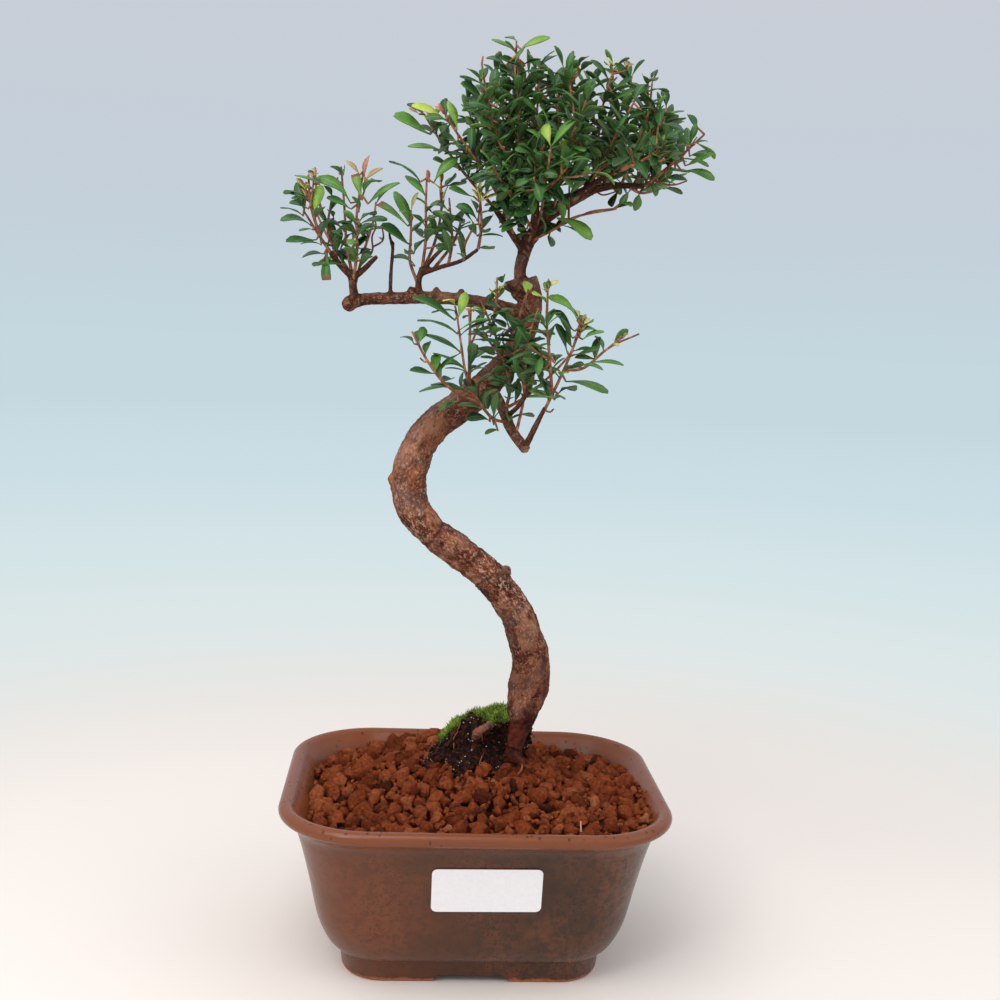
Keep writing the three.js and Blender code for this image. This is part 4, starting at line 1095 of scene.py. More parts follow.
# Twigs seen in the photograph that no shoot above has: their pixels, from the foot outwards.
TWIGS = {
    "left_pad": [
        [(305, 213), (305.5, 198), (306, 191)], [(313, 205), (313, 186), (313.5, 176)],
        [(338, 196), (338, 186), (337.5, 177)], [(364, 208), (364, 192), (365, 178)],
        [(361, 262), (372, 252), (372, 237), (376, 226), (373, 215)],
        [(376, 250), (383, 240), (382, 226)], [(328, 236), (327, 250)],
    ],
    "middle_pad": [
        [(480, 232), (478.6, 222), (479.5, 208), (480, 202)], [(425, 252), (433, 247), (440, 243)],
        [(440, 205), (440, 188)], [(443, 210), (444, 200)],
    ],
    "low_pad": [
        [(547.4, 325), (547.4, 309), (548, 289)], [(429, 362), (425, 362), (420, 358)],
        [(511, 410), (520, 400), (530.7, 389.4)], [(545, 414), (550, 412), (553.6, 409)],
        [(578, 345), (580, 324)], [(500, 308), (498, 294), (500, 286)],
        [(526.7, 310), (526.7, 297)], [(469, 325), (469, 315), (469, 309)],
        [(610, 347), (618, 340), (624, 335)],
    ],
    "crown": [
        [(516.5, 63), (516.5, 53.6), (516.5, 41)], [(478, 57), (483, 56)],
        [(613, 85), (613, 77), (610, 66)], [(622, 80), (625.4, 70.7), (627, 66)],
        [(578, 84), (578, 74), (577.5, 66)], [(645, 110), (648, 95), (648, 84)],
        [(655, 150), (657, 136), (658.6, 126)],
        [(664, 173), (680, 158.6), (688.6, 148.6), (697, 137)],
        [(590, 200), (603, 195), (618, 191)], [(613, 164), (621, 160), (628.6, 156.4)],
        [(655, 186), (672, 185), (687, 181)], [(560, 222), (580, 216), (593, 211), (614, 208.6)],
    ],
}

# Leaves seen in the photograph: the pixels of foot and tip, the share of the blade's breadth that
# is seen, and the age from 0 for a pink bud to 1 for a deep green leaf.
SEEN = {
    "left_pad": [
        (313, 218, 321, 185, 0.95, 0.5), (308, 200, 292, 191, 0.7, 0.8),
        (308, 209, 290, 201, 0.6, 0.8), (306, 197, 284, 192, 0.15, 0.7),
        (303, 216, 271, 203, 0.25, 0.7), (311, 226, 277.6, 217, 0.3, 0.75),
        (313, 230, 300, 230, 0.15, 0.7), (317, 239, 286, 241.6, 0.3, 0.75),
        (321, 245, 301, 243, 0.25, 0.75), (324, 254, 302.6, 256, 0.3, 0.85),
        (323, 261, 314, 266, 0.5, 0.9), (344, 266, 321, 262, 0.4, 0.75),
        (327, 250, 326.5, 280, 0.75, 0.68), (320, 184, 295, 174.5, 0.35, 0.65),
        (350, 203, 318, 176, 0.45, 0.6), (351, 209, 327, 197, 0.6, 0.7),
        (358, 224, 344, 211, 0.9, 0.6), (357, 237, 340, 225, 0.9, 0.85),
        (342, 228, 322.6, 217.5, 0.6, 0.9), (331, 230, 341, 236, 0.3, 0.7),
        (342, 177, 332, 165, 0.5, 0.7), (342, 178, 344, 169, 0.5, 0.8),
        (340, 190, 342, 181, 0.6, 0.9), (333, 196, 325, 186, 0.7, 1), (362, 200, 355, 174, 1, 0.5),
        (359.5, 175, 346.7, 160, 0.35, 0.12), (365, 178, 368.5, 155, 0.3, 0),
        (365, 181, 382.6, 167.5, 0.35, 0.15), (363, 196, 371, 179, 0.6, 0.65),
        (370, 183, 379, 181, 0.5, 0.7), (368, 204, 399, 182, 0.5, 0.6),
        (360, 221, 376, 213, 0.45, 0.75), (359.5, 225, 387, 218, 0.3, 0.85),
        (358, 236, 374, 223, 0.55, 0.75), (366, 232, 381, 228, 0.2, 0.7),
        (357, 247, 367, 236, 0.7, 0.85), (358, 255, 371, 249, 0.6, 0.95),
        (350, 258, 339, 249, 0.6, 0.95), (343, 264, 338, 251, 0.7, 0.95),
        (360, 261, 371, 256, 0.5, 0.9), (315, 219, 323, 207, 0.6, 0.8),
        (321, 243, 326, 219, 0.6, 0.85), (334, 218, 329, 210, 0.7, 0.9),
        (357, 261, 344, 258, 0.4, 0.6), (358, 244, 349, 243, 0.5, 0.55),
        (359, 212, 354, 196, 0.5, 0.65), (305.5, 196, 302, 187, 0.4, 0.15),
        (306, 192, 306, 182, 0.3, 0.1), (306, 192, 309, 184, 0.4, 0.2),
        (305, 190, 297, 178, 0.4, 0.2), (313.5, 180, 309, 173, 0.4, 0.1),
        (313.5, 177, 313.5, 168, 0.3, 0.05), (313.5, 178, 317.5, 173, 0.4, 0.15),
        (380, 242, 380, 237, 0.5, 0.1), (336, 252, 326, 244, 0.5, 0.9),
        (347, 246, 336, 239, 0.6, 0.9), (352, 240, 362, 229, 0.5, 0.9),
        (330, 209, 338, 199, 0.6, 0.85), (318, 203, 308, 192, 0.5, 0.85),
    ],
    "middle_pad": [
        (411, 230, 395.6, 191, 0.8, 0.65), (427.5, 199, 406, 175, 0.8, 0.6),
        (420, 182, 390, 160, 0.25, 0.75), (411, 210, 418, 192.5, 0.6, 0.3),
        (408, 226, 379, 203, 0.4, 0.5), (411.5, 245, 381, 225, 0.5, 0.75),
        (415, 266, 393, 255.5, 0.25, 0.8), (413.5, 253, 405, 253, 0.3, 0.7),
        (414, 254, 425, 239, 0.7, 0.75), (425, 226, 412, 213.5, 0.8, 0.7),
        (413, 217, 400, 211, 0.3, 0.55), (427, 221, 447, 212, 0.6, 0.5),
        (428, 236, 446, 228, 0.6, 0.7), (413, 230, 422, 222, 0.2, 0.7),
        (434, 183, 456, 157, 0.7, 0.6), (440, 188, 440.5, 169.5, 0.5, 0.25),
        (443, 193, 432, 181, 0.3, 0.3), (444, 202, 447, 187, 0.5, 0.33),
        (429.5, 182, 427, 170, 0.4, 0), (443, 186, 456, 176, 0.2, 0.85),
        (447, 185, 466, 183, 0.15, 0.8), (473, 196, 449, 188.5, 0.35, 0.7),
        (427, 216, 437, 203, 0.5, 0.7), (448, 211, 431, 203, 0.5, 0.75),
        (451, 227, 449, 213, 0.9, 0.9), (451, 233, 438, 225, 0.6, 0.85),
        (452, 228, 465, 243, 0.5, 0.9), (462, 256, 458, 236, 0.6, 0.95),
        (463, 260, 460, 253, 0.7, 0.55), (477, 221, 458, 204, 0.6, 0.8),
        (473, 222, 456, 206, 0.3, 0.85), (477, 236, 471, 224, 1, 0.8),
        (480, 230, 492, 216, 0.6, 0.85), (481, 233, 489, 231, 0.3, 0.85),
        (479, 236, 503, 236, 0.3, 0.8), (478, 249, 494, 248.5, 0.15, 0.6),
        (480, 202, 472, 189, 0.4, 0.28), (480, 202, 475.7, 183.6, 0.45, 0.3),
        (480, 201, 481.4, 180.7, 0.5, 0.3), (480, 201, 487.9, 181.4, 0.45, 0.31),
        (480, 202, 493.6, 187.9, 0.4, 0.3), (480, 203, 500, 193.6, 0.35, 0.28),
        (477, 212, 472, 200, 0.6, 0.9), (453, 222, 463, 214, 0.15, 0.9),
        (460, 231, 469, 222, 0.15, 0.9), (427, 207, 416, 197, 0.3, 0.7),
        (431, 211, 445, 219, 0.15, 0.8), (450, 243, 436, 235, 0.2, 0.8),
        (451, 252, 437, 247, 0.4, 0.75), (424, 237, 414, 229, 0.2, 0.7),
    ],
    "low_pad": [
        (458, 319, 466, 292, 1, 0.48), (455, 320, 413, 296.6, 0.35, 0.8),
        (455, 311, 432, 311.6, 0.2, 0.8), (455, 306, 445, 299.5, 0.35, 0.4),
        (457, 334, 418, 318.7, 0.25, 0.7), (460, 352, 425, 333, 0.4, 0.85),
        (465, 371, 433.7, 352, 0.25, 0.65), (465, 373, 443, 363, 0.25, 0.6),
        (460, 353, 440, 369.5, 0.35, 0.8), (419, 344, 424.4, 326.6, 1, 0.65),
        (413.7, 343.7, 402, 336, 0.3, 0.85), (425, 355.4, 428.7, 341.6, 0.8, 0.75),
        (437, 373, 436, 354.4, 1, 0.6), (435, 373, 410, 370.4, 0.35, 0.8),
        (441, 380, 451, 378.7, 0.5, 0.75), (467, 393, 431, 383.4, 0.55, 0.9),
        (450, 389, 419, 390.6, 0.35, 0.65), (458, 401, 440, 409.4, 0.5, 0.65),
        (480, 409, 458.7, 404.4, 0.4, 0.7), (490, 422, 467, 417.3, 0.5, 0.95),
        (498, 431, 486.6, 433, 0.4, 0.7), (469, 368.7, 476, 344.4, 0.9, 0.9),
        (461, 335, 484, 321, 0.2, 0.95), (490, 336.6, 467.6, 333.3, 0.6, 0.85),
        (483, 318, 475, 310, 0.4, 0.9), (474, 311, 481, 310, 0.3, 0.5),
        (491, 317, 505, 327, 0.6, 0.95), (491, 317, 520, 309, 0.4, 0.8),
        (500, 308, 487, 304, 0.6, 0.85), (499, 330, 488, 323, 0.5, 0.8),
        (492, 333, 500, 329, 0.5, 0.6), (481, 382, 502, 367, 0.4, 0.7),
        (484, 385.6, 503, 383.4, 0.3, 0.8), (489, 385, 486, 408, 0.8, 0.9),
        (465, 373, 461, 385, 0.4, 0.95), (470, 371.6, 478, 366, 0.5, 0.95),
        (502, 411, 512, 405, 0.5, 0.95), (504, 411, 509, 420, 0.6, 0.7),
        (497, 409, 501, 399, 0.5, 0.8), (494, 425, 497, 413, 0.2, 0.95),
        (509, 421, 534, 415, 0.25, 0.95), (496, 297, 491, 290, 0.35, 0.35),
        (499, 293, 503, 285, 0.4, 0.35), (496, 290, 495, 281, 0.3, 0.3),
        (502, 282, 503.5, 276, 0.5, 0.85), (469, 315, 466, 308, 0.4, 0.1),
        (469, 315, 472, 309, 0.4, 0.15), (527, 297, 528, 281, 1, 0.45),
        (547, 307, 533, 292.5, 0.4, 0.42), (549, 288.7, 558, 280, 0.6, 0.25),
        (546, 291.6, 542.4, 288.7, 0.4, 0.3), (548, 289, 548.3, 278.3, 0.35, 0.2),
        (547, 289, 544.3, 281, 0.35, 0.2), (577, 320, 550, 295, 0.3, 0.55),
        (575, 331, 553.6, 311, 0.45, 0.85), (548, 319, 560, 312.3, 0.2, 0.9),
        (546, 328, 553.3, 308.3, 0.8, 0.85), (546, 328, 537, 312, 0.6, 0.85),
        (550, 345, 553.6, 325, 0.8, 0.85), (567, 351, 556, 323.7, 0.6, 0.85),
        (573, 338, 560, 318, 0.4, 0.9), (575, 354.4, 598.6, 349, 0.5, 0.7),
        (583, 339.4, 603, 330, 0.4, 0.6), (595, 358.7, 599.3, 337.3, 0.8, 0.8),
        (596, 358, 575, 357.7, 0.25, 0.85), (594, 361.6, 623.6, 365, 0.3, 0.6),
        (581, 366.6, 602, 368.7, 0.5, 0.65), (566, 370, 583, 363.4, 0.4, 0.95),
        (566, 381.6, 608.6, 390.6, 0.35, 0.6), (553, 391, 543, 380, 0.4, 0.95),
        (558.6, 393.7, 576, 388.7, 0.3, 0.85), (554.6, 400, 546, 396, 0.5, 0.6),
        (554.6, 400, 563, 397, 0.5, 0.6), (549, 398.7, 530.7, 391.6, 0.2, 0.6),
        (559, 378, 523.6, 357.3, 0.4, 0.75), (544, 369.7, 521, 373, 0.5, 0.85),
        (554, 360, 534.3, 348.3, 0.5, 0.8), (555, 363, 559.3, 353.7, 0.8, 0.85),
        (560, 377, 566, 372, 0.5, 0.6), (578, 318, 576.5, 310, 0.35, 0.15),
        (583, 322, 585.7, 314, 0.35, 0.18), (584, 325, 589, 318, 0.35, 0.2),
        (580, 324, 580, 315, 0.6, 0.8), (580, 336, 586, 318, 0.5, 0.45),
        (583, 330, 592, 321, 0.4, 0.5), (582, 332, 596, 329, 0.4, 0.6),
        (620, 338, 623, 332, 0.4, 0.2), (623, 338, 627.6, 333.4, 0.4, 0.2),
        (612, 346, 619, 345, 0.3, 0.2), (522, 378, 535.7, 383.7, 0.2, 0.7),
        (500, 352, 492, 344, 0.5, 0.85), (505, 370, 514, 358, 0.5, 0.9),
        (512, 392, 520, 380, 0.5, 0.9), (477, 396, 466, 386, 0.5, 0.9),
        (530, 352, 540, 338, 0.5, 0.9), (524, 330, 516, 318, 0.5, 0.85),
    ],
    "crown": [
        (431, 134, 394, 115.4, 0.5, 0.6), (440, 150, 408, 145, 0.5, 0.6),
        (447, 121, 412, 105, 0.45, 0.4), (457, 129.6, 448.6, 100.7, 0.9, 0.5),
        (445, 148, 442, 121.4, 0.8, 0.65), (458, 141, 438.6, 135.7, 0.4, 0.6),
        (450, 124, 426.4, 117, 0.25, 0.7), (437, 135, 438, 126, 0.4, 0.8),
        (419, 114, 409, 107.6, 0.35, 0.05), (421, 113.6, 418.6, 103.6, 0.35, 0),
        (443, 113, 435.7, 106.4, 0.35, 0.05), (444, 113.6, 438.6, 103.6, 0.3, 0),
        (427, 118.6, 430.7, 105.7, 0.4, 0.15), (472, 154, 455, 150, 0.6, 0.85),
        (466, 152, 457, 145, 0.4, 0.85), (451, 165, 433, 159.3, 0.4, 0.75),
        (453, 165.7, 477, 163, 0.3, 0.8), (459, 170, 479, 167, 0.5, 0.7),
        (490, 173, 470, 178, 0.6, 0.8), (468, 177, 470, 156, 0.5, 0.95),
        (472, 154, 471.7, 127, 1, 0.75), (471, 130, 470, 119.3, 0.8, 0.8),
        (473, 118.6, 468, 108, 0.8, 0.8), (466, 123, 459, 121, 0.25, 0.7),
        (521, 49, 549.6, 36.8, 0.7, 0.5), (514, 50.5, 492.5, 39, 0.4, 0.55),
        (517, 41, 503, 35.8, 0.6, 0.6), (481, 80.5, 467.6, 68, 0.5, 0.75),
        (469, 105.5, 465.6, 76, 0.5, 0.95), (486, 100.5, 461, 83, 0.5, 0.85),
        (494, 114, 469, 102, 0.6, 0.85), (491, 97.4, 496, 68.6, 1, 0.85),
        (507.5, 89, 500, 64, 0.6, 0.6), (505.6, 65.5, 487, 56.8, 0.4, 0.85),
        (516, 86.8, 508, 63.4, 0.9, 0.9), (525, 66, 499.4, 58, 0.3, 0.85),
        (525, 64, 540, 58, 0.5, 0.95), (541, 65, 553, 55.5, 0.6, 0.95),
        (556, 73, 530, 61.8, 0.4, 0.75), (535.6, 89, 532.5, 66.5, 0.9, 0.85),
        (551, 82, 540, 72, 0.5, 0.9), (516, 109, 520, 84, 0.9, 0.95),
        (538, 115.5, 521, 94, 0.7, 0.65), (554, 98, 562, 67, 0.8, 0.85),
        (568, 77, 573, 50.8, 0.9, 0.7), (576, 65.5, 585.6, 56.5, 0.5, 0.7),
        (580, 73, 592, 62, 0.3, 0.95), (578, 94, 596, 78, 0.4, 0.75),
        (550.6, 148.6, 544, 124, 1, 0.45), (551, 147, 575, 120, 0.6, 0.6),
        (544, 159, 514.4, 138, 0.5, 0.65), (541, 171, 520, 165, 0.45, 0.65),
        (547, 170, 579, 151, 0.6, 0.65), (498, 123, 504, 104.5, 0.8, 0.9),
        (530, 119, 509, 114, 0.5, 0.8), (497, 130, 478, 119, 0.6, 0.75),
        (501, 143, 481, 129, 0.6, 0.75), (507, 139, 516, 123, 0.8, 0.85),
        (497, 107, 492, 98, 0.5, 0.45), (608.6, 83, 591, 60, 0.4, 0.8),
        (580, 70, 591, 62, 0.2, 0.95), (611, 70, 607, 64, 0.4, 0.35),
        (611, 68, 609.6, 60, 0.4, 0.35), (612, 77, 616, 70, 0.4, 0.35),
        (626, 69, 633, 63.6, 0.4, 0.12), (626, 69, 625.7, 60, 0.4, 0.12),
        (636, 89, 614, 64, 0.4, 0.8), (611, 77, 601, 68, 0.5, 0.8), (612, 93, 632.6, 77, 0.6, 0.75),
        (612, 102, 635, 90, 0.6, 0.8), (633, 105, 647, 83.6, 0.7, 0.8),
        (648, 84, 643, 75.7, 0.5, 0.8), (648, 84, 654, 75, 0.3, 0.15),
        (648, 84, 656, 79, 0.5, 0.95), (645, 94, 669, 90.7, 0.25, 0.7),
        (656, 113, 646, 93.6, 0.25, 0.85), (645, 107, 658.6, 103.6, 0.25, 0.8),
        (641, 110, 651, 107, 0.5, 0.9), (622, 121, 646, 112, 0.5, 0.8),
        (658.6, 125.7, 661, 111.7, 0.9, 0.85), (668, 121, 678, 118, 0.5, 0.85),
        (661.6, 124, 684.6, 130.7, 0.6, 0.9), (660.7, 136.7, 680, 133, 0.4, 0.85),
        (664, 140, 678.6, 137.4, 0.3, 0.9), (654, 146, 677, 140.7, 0.3, 0.9),
        (675, 141, 679.7, 156, 0.3, 0.9), (666, 147, 673, 144, 0.5, 0.6),
        (668, 170, 671, 152.6, 0.9, 0.8), (656, 156, 671, 150.7, 0.5, 0.8),
        (689.7, 144, 696.4, 124, 1, 0.75), (698, 128, 688, 115, 0.25, 0.8),
        (694, 145, 706, 140, 0.3, 0.8), (685, 165.4, 714, 154, 0.6, 0.6),
        (689.7, 156.4, 707, 153, 0.4, 0.75), (682, 171.7, 715, 177.6, 0.45, 0.6),
        (665, 177, 686.4, 180, 0.6, 0.65), (659, 181.7, 674, 183, 0.5, 0.75),
        (656, 184, 665, 189, 0.4, 0.65), (650, 187, 655, 193.6, 0.5, 0.75),
        (636, 180, 643, 186, 0.9, 0.7), (630, 173, 613, 178, 0.4, 0.75),
        (657, 178, 655, 165, 0.8, 0.7), (675, 168, 685, 160, 0.5, 0.95),
        (586, 191, 590, 175, 0.8, 0.75), (619, 191, 612, 206, 0.5, 0.9),
        (629.7, 191, 621, 205, 0.7, 0.8), (621, 203, 631, 206, 0.4, 0.6),
        (557, 218, 593, 237, 0.6, 0.55), (633, 161, 629, 144, 0.25, 0.9),
        (598, 141, 608, 139, 0.4, 0.65), (598.6, 149.3, 621, 144, 0.4, 0.75),
        (598, 120, 606, 117, 0.5, 0.7), (604, 106, 607, 93, 0.9, 0.7),
        (638, 163, 641, 146, 0.9, 0.8), (549, 236, 551, 245, 0.7, 0.75),
        (545, 222, 560, 231, 0.5, 0.8), (536, 216, 515, 213, 0.5, 0.75),
        (543, 211, 555, 212, 0.6, 0.8), (522, 222, 502, 231.5, 0.5, 0.75),
        (507, 208, 489, 211, 0.5, 0.85), (513, 212, 500, 222, 0.6, 0.9),
        (527, 229, 519, 230.5, 0.4, 0.75), (528, 233, 516, 238.5, 0.5, 0.8),
        (508, 205, 485, 204.5, 0.25, 0.75), (526, 189, 505, 189.5, 0.2, 0.7),
        (535, 200.5, 521, 199.5, 0.35, 0.7), (511, 190, 497, 200, 0.8, 0.8),
        (488, 182, 502, 190, 0.6, 0.9), (544, 201, 558, 195.5, 0.3, 0.75),
        (509, 184, 505, 173, 0.8, 0.95), (517, 180, 527, 188, 0.5, 0.95),
        (487, 162, 482, 153, 0.7, 0.95),
    ],
}
CUT_LEAVES = [(326.5, 280), (355, 174), (379, 203), (553, 55.5), (585.6, 56.5), (488, 323)]
# Half breadths of a leaf as shares of its widest, at even steps from foot to tip.
LEAF_OUTLINE = [0.05, 0.15, 0.46, 0.78, 0.97, 1.0, 0.83, 0.27]
LEAF_BREADTH = 0.35
LEAF_THICK = 0.03
# How much of a cut leaf is left.
CUT_SHARE = 0.8
SHORTEST_OLD_LEAF = 11.5
# Where a pad is so dense that single leaves can't be told apart, as an outline in pixels.
BODIES = {
    "left_pad": [(340, 215), (368, 215), (366, 262), (340, 262)],
    "middle_pad": [(425, 215), (455, 215), (455, 255), (425, 250)],
    "low_pad": [
        (480, 306), (526, 306), (545, 330), (550, 370), (530, 396), (500, 408), (480, 392),
        (472, 350),
    ],
    "crown": [
        (468, 112), (466, 82), (478, 64), (500, 56), (530, 54), (560, 64), (590, 66), (622, 76),
        (642, 96), (662, 112), (674, 132), (684, 152), (668, 168), (640, 180), (600, 188),
        (570, 204), (548, 216), (530, 226), (508, 218), (492, 198), (484, 174), (475, 140),
    ],
}
SIDE_TWIGS = {"left_pad": 0, "middle_pad": 0, "low_pad": 2, "crown": 5}
# Hidden leaves: how close, in pixels, one must be seen to a leaf that was placed by sight.
COVER = {"left_pad": 5, "middle_pad": 5, "low_pad": 7, "crown": 17}


def leaf_blade(bend, fold, twist, cut=False):
    """A closed blade 1 long along Y, face up: folded at the midrib, bent and twisted."""
    rows = len(LEAF_OUTLINE) - 1
    shape = bmesh.new()
    lay = {key: shape.verts.layers.float.new(key) for key in ("across", "along", "under")}
    bmesh.ops.create_grid(shape, x_segments=2, y_segments=rows, size=1)
    for point in shape.verts:
        across, along = point.co.x, (point.co.y + 1) / 2
        if cut:
            along *= CUT_SHARE
        row = along * rows
        k = min(int(row), rows - 1)
        half = LEAF_OUTLINE[k] + (LEAF_OUTLINE[k + 1] - LEAF_OUTLINE[k]) * (row - k)
        side = across * half * LEAF_BREADTH / 2
        if cut:
            along /= CUT_SHARE
        curl = 0.12 * bend * across**2 * half
        height = bend * (0.25 - (along - 0.45) ** 2) + fold * abs(side) - curl
        lift = twist * (along - 0.3) * side
        point.co = (side, along, height + lift)
        point[lay["across"]], point[lay["along"]] = across, along * (1.3 if cut else 1)
    made = bmesh.ops.solidify(shape, geom=shape.faces[:], thickness=LEAF_THICK)
    for point in made["geom"]:
        if isinstance(point, bmesh.types.BMVert):
            point[lay["under"]] = 1
    bmesh.ops.recalc_face_normals(shape, faces=shape.faces)
    return mesh_of("blade", shape)


def leaf_place(foot, tip, broad):
    """The matrix that lays a blade from foot to tip, with a share of its breadth in sight."""
    way = tip - foot
    length = way.length
    way.normalize()
    to_eye = (CAMERA_PLACE - foot).normalized()
    facing = (to_eye - way * to_eye.dot(way)).normalized()
    edge_on = way.cross(facing)
    slant = math.sqrt(max(0, 1 - broad * broad))
    best = max(
        (facing * broad * a + edge_on * slant * b for a in (1, -1) for b in (1, -1)),
        key=lambda n: n.z + 0.45 * n.dot(to_eye),
    )
    side = way.cross(best)
    turn = Matrix((side, way, best)).transposed().to_4x4()
    return Matrix.Translation(foot) @ turn @ Matrix.Scale(length, 4)


# Shoot bark: smooth, thin and orange-brown, with darker and lighter streaks.
twig_bark = new_finish("shoot_bark", Roughness=0.6, IOR=1.45)
streak = clouds(twig_bark, position(twig_bark), 380, 3)
browns = [(0.3, "5c3220"), (0.52, "8f5433"), (0.7, "b07b50")]
feed(twig_bark, Base_Color=ramp(twig_bark, streak, *browns))

# Leaf skin: waxy above and paler and duller below, with a light midrib and shallow side veins. Its
# colour follows its age, and the edge of a cut leaf is brown.
leaf = new_finish("waxy_leaf", IOR=1.4)
along, under = carried(leaf, "along"), carried(leaf, "under")
drift = ranged(leaf, clouds(leaf, position(leaf), 240, 3), 0, 1, -0.08, 0.08)
ripe = reckoned(leaf, "ADD", carried(leaf, "age"), drift)
AGES = [
    (0, "a0624f"), (0.14, "a98b58"), (0.28, "c0b262"), (0.38, "abb54a"), (0.5, "6f9735"),
    (0.6, "4f7c2f"), (0.72, "3a642b"), (0.84, "2b5026"), (1, "1c361c"),
]
shade = ranged(leaf, carried(leaf, "tint"), 0, 1, 0.8, 1.3)
tinted = mixed(leaf, 1, ramp(leaf, ripe, *AGES), shade, "MULTIPLY")
off_rib = reckoned(leaf, "ABSOLUTE", carried(leaf, "across"))
ribbed = mixed(leaf, ranged(leaf, off_rib, 0.04, 0.16, 0.22, 0), tinted, "9dba60")
two_sided = mixed(leaf, reckoned(leaf, "MULTIPLY", under, 0.26), ribbed, "7f9a52")
veins = reckoned(leaf, "MULTIPLY_ADD", off_rib, -0.35, along)
ridges = reckoned(leaf, "SINE", reckoned(leaf, "MULTIPLY", veins, 70))
feed(
    leaf,
    Base_Color=mixed(leaf, ranged(leaf, along, 1.08, 1.2), two_sided, "8a5a3a"),
    Roughness=ranged(leaf, under, 0, 1, 0.36, 0.6),
    Normal=bumps(leaf, ridges, 0.25, 0.0002),
)

blades = [
    leaf_blade(bend, fold, twist)
    for bend, fold, twist in [
        (0.3, 0.35, 0.4), (0.5, 0.25, -0.6), (0.15, 0.5, 0.2), (0.6, 0.45, 0.9), (0.35, 0.15, -0.3),
        (-0.15, 0.6, 0.5),
    ]
]
cut_blade = leaf_blade(0.2, 0.3, 0.2, cut=True)


def inside(u, v, outline):
    """Whether a pixel lies inside an outline."""
    odd = False
    for (a, b), (c, d) in zip(outline, outline[1:] + outline[:1]):
        if (b > v) != (d > v) and u < a + (v - b) * (c - a) / (d - b):
            odd = not odd
    return odd


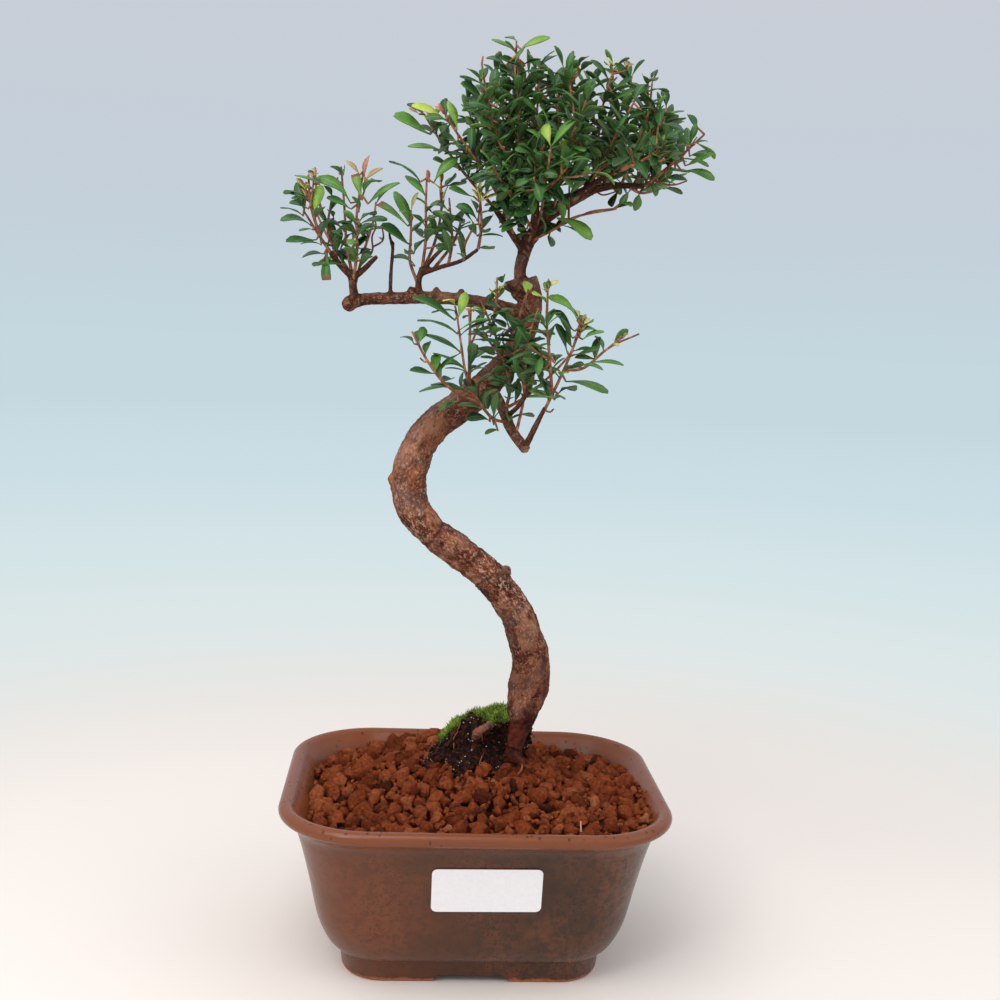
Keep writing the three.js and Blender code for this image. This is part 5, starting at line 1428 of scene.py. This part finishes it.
# Hidden leaves: the gap between pairs and where they begin on a long shoot, and how far off, in
# pixels, a shoot may be seen from the foot of a leaf that it carries.
PAIR_GAP = 5
LEAFY_FROM = 0.14
REACH = 2.5
into_pot = home.inverted()
box_low, box_high = into_pot @ model_box[0], into_pot @ model_box[1]
box_middle, box_half = (box_low + box_high) / 2, (box_high - box_low) / 2
for number, (pad, sprays) in enumerate(SHOOTS.items()):
    chance = random.Random(100 + number)
    shoots = []
    rules = []
    for spray in sprays:
        first = len(shoots)
        for carrier, at, points, *leaves in spray:
            parent = shoots[first + carrier] if isinstance(carrier, int) else limbs[carrier]
            shoots.append(Line([parent.at(at)] + points, (0.78, 0.43), 8))
            rules.append((shoots[-1], *(leaves or USUAL_LEAVES)))
    stations = []
    for line in shoots + [line for line in limbs.values() if line.radii[-1] < 2.8]:
        steps = math.ceil(line.length)
        stations += [(p, in_picture(p)) for p in (line.at(k / steps) for k in range(steps + 1))]
    rods = list(shoots)

    def carried_by(u, v):
        """The place on the shoots seen nearest to a pixel. Of near ones, the one in front."""
        gaps = [(math.hypot(s[1][0] - u, s[1][1] - v), s) for s in stations]
        near = min(gap for gap, _ in gaps)
        return min((s for gap, s in gaps if gap < near + REACH), key=lambda s: s[1][2])

    for pixels in TWIGS[pad]:
        foot, (_, _, far) = carried_by(*pixels[0])
        places = [foot] + [at_pixel(u, v, far - 0.8 * k) for k, (u, v) in enumerate(pixels[1:], 1)]
        twig = Line(places, (0.5, 0.36), 6)
        rods.append(twig)
        stations += [(p, in_picture(p)) for p in twig.places[1:]]

    foliage = []
    seen_middles = []
    for fu, fv, tu, tv, broad, age in SEEN[pad]:
        foot, (u, v, far) = carried_by(fu, fv)
        if math.hypot(fu - u, fv - v) > REACH:
            end = at_pixel(fu, fv, far - 1)
            rods.append(Line([foot, foot.lerp(end, 0.5), end], (0.5, 0.4), 4))
            foot = end
        flat = at_pixel(tu, tv, (foot - CAMERA_PLACE).dot(sight)) - foot
        whole = max(flat.length, SHORTEST_OLD_LEAF * chance.uniform(0.85, 1.1) if age > 0.3 else 5)
        depth = math.sqrt(max(0, whole**2 - flat.length**2)) * (1 if chance.random() < 0.5 else -1)
        tip = at_pixel(tu, tv, (foot - CAMERA_PLACE).dot(sight) + depth)
        for k in (0, 2):
            reach = abs(tip[k] - box_middle[k]) + 1.2
            if reach > box_half[k]:
                tip = foot.lerp(tip, max(0.5, 1 - (reach - box_half[k]) / abs(tip[k] - foot[k])))
        seen_middles.append(((fu + tu) / 2, (fv + tv) / 2, far))
        blade = cut_blade if (tu, tv) in CUT_LEAVES else chance.choice(blades)
        spot = leaf_place(foot, tip, broad if age > 0.2 else max(broad, 0.75))
        foliage.append((blade, spot, {"age": age, "tint": chance.random()}))

    def hidden(place):
        """Whether a place is seen in the dense part, or behind a leaf that is placed by sight."""
        u, v, far = in_picture(place)
        return inside(u, v, BODIES[pad]) or any(
            math.hypot(u - a, v - b) < COVER[pad] and far > c - 4 for a, b, c in seen_middles
        )

    sides = []
    for shoot, pairs, size, start in rules:
        for k in range(SIDE_TWIGS[pad] if pairs else 0):
            share = chance.uniform(0.15, 0.85)
            stray = Vector([chance.gauss(0, 1) for _ in "xyz"]) * 0.8
            way = stray + shoot.way(share) + Vector((0, 0, 0.3))
            foot = shoot.at(share)
            end = foot + way.normalized() * chance.uniform(9, 17)
            if inside(*in_picture(end)[:2], BODIES[pad]):
                bow = foot.lerp(end, 0.5) - Vector((0, 0, 0.8))
                sides.append((Line([foot, bow, end], (0.55, 0.4), 5), 3, 11.5, 0.3))
                rods.append(sides[-1][0])
    for shoot, pairs, size, start in rules + sides:
        if not pairs:
            continue
        roll = chance.uniform(0, math.pi)
        if shoot.length > 20:
            pairs, start = round(shoot.length / PAIR_GAP), LEAFY_FROM
        for pair in range(pairs):
            for half in (0, 1):
                share = start + (1 - start) * pair / (pairs - 1) - half * 0.02
                at_tip = pair == pairs - 1
                length = size * chance.uniform(0.8, 1.1) * (0.85 if at_tip else 1)
                angle = roll + (pair / 2 + half) * math.pi + chance.uniform(-0.3, 0.3)
                up = shoot.way(share)
                side = up.cross(Vector((0, 1, 0))).normalized()
                out = side * math.cos(angle) + up.cross(side) * math.sin(angle)
                way = out + up * (chance.uniform(1.2, 1.8) if at_tip else chance.uniform(0.4, 1))
                way.z -= chance.uniform(0, 0.35)
                way.normalize()
                face = up * 0.5 + Vector((0, 0, 0.6))
                face = (face - way * face.dot(way)).normalized()
                foot = shoot.at(share)
                if not all(hidden(foot + way * length * part) for part in (0.55, 0.95)):
                    continue
                turn = Matrix((way.cross(face), way, face)).transposed().to_4x4()
                spot = Matrix.Translation(foot) @ turn @ Matrix.Scale(length, 4)
                age = min(1, max(0.55, chance.gauss(0.8, 0.12)))
                foliage.append((chance.choice(blades), spot, {"age": age, "tint": chance.random()}))
    nodes = ["%s_spray_%d" % (pad.removesuffix("_pad"), k + 1) for k in range(len(sprays))]
    set_piece(pad + "_leaves", mesh_of(pad + "_leaves", planted(foliage)), leaf, nodes)
    set_piece(pad + "_shoots", round_rods(rods, 1), twig_bark)


# Floor, backdrop and light: a pale floor that fades into a pale blue-grey distance, a large soft
# light above and to the left, a weaker one on the right and in front, and light from all round.
ground = new_finish("pale_studio_floor", Base_Color="efe5dc", Roughness=0.8)
away = add_node(ground, "VectorMath", {0: position(ground)}, operation="LENGTH").outputs["Value"]
fade = ranged(ground, away, 0.22, 0.6, interpolation_type="SMOOTHSTEP")
hazes = [
    (0, "ebe7e2"), (0.05, "e6e8e5"), (0.11, "dee7e7"), (0.2, "d5e4e7"), (0.42, "cbdee5"),
    (1, "c5d7df"),
]
haze = ramp(ground, ranged(ground, away, 0.2, 4.2), *hazes)
glow = add_node(ground, "Emission", {"Color": haze, "Strength": 1}).outputs[0]
near = ground.node_tree.nodes["Principled BSDF"].outputs[0]
blend = add_node(ground, "MixShader", {0: fade, 1: near, 2: glow}).outputs[0]
plug(ground.node_tree.nodes["Material Output"], "Surface", blend)

shape = bmesh.new()
bmesh.ops.create_circle(shape, cap_ends=True, segments=96, radius=30)
floor = bpy.data.objects.new("studio_floor", mesh_of("studio_floor", shape))
floor.data.materials.append(ground)
bpy.context.scene.collection.objects.link(floor)

world = bpy.data.worlds.new("pale_studio")
bpy.context.scene.world = world
world.use_nodes = True
way = add_node(world, "TexCoord", {}).outputs["Generated"]
rise = add_node(world, "SeparateXYZ", {"Vector": way}).outputs["Z"]
skies = [(0, "c4d6de"), (0.08, "c4d0da"), (0.24, "c9ced7"), (1, "eceef2")]
plug(world.node_tree.nodes["Background"], "Color", ramp(world, rise, *skies))

for name, spot, size, power in (
    ("soft_light_above", (-350, -450, 900), 700, 5.5),
    ("soft_light_right", (700, -300, 500), 600, 1),
    ("soft_light_front", (-420, -620, 620), 150, 0.7),
):
    light = bpy.data.objects.new(name, bpy.data.lights.new(name, "AREA"))
    light.data.size = size * 0.001
    light.data.energy = power
    reach = home @ Vector((0, 0, 180)) - home @ Vector(spot)
    light.matrix_world = Matrix.Translation(home @ Vector(spot)) @ reach.to_track_quat(
        "-Z", "Y"
    ).to_matrix().to_4x4()
    bpy.context.scene.collection.objects.link(light)
bpy.context.scene.view_settings.view_transform = "Standard"
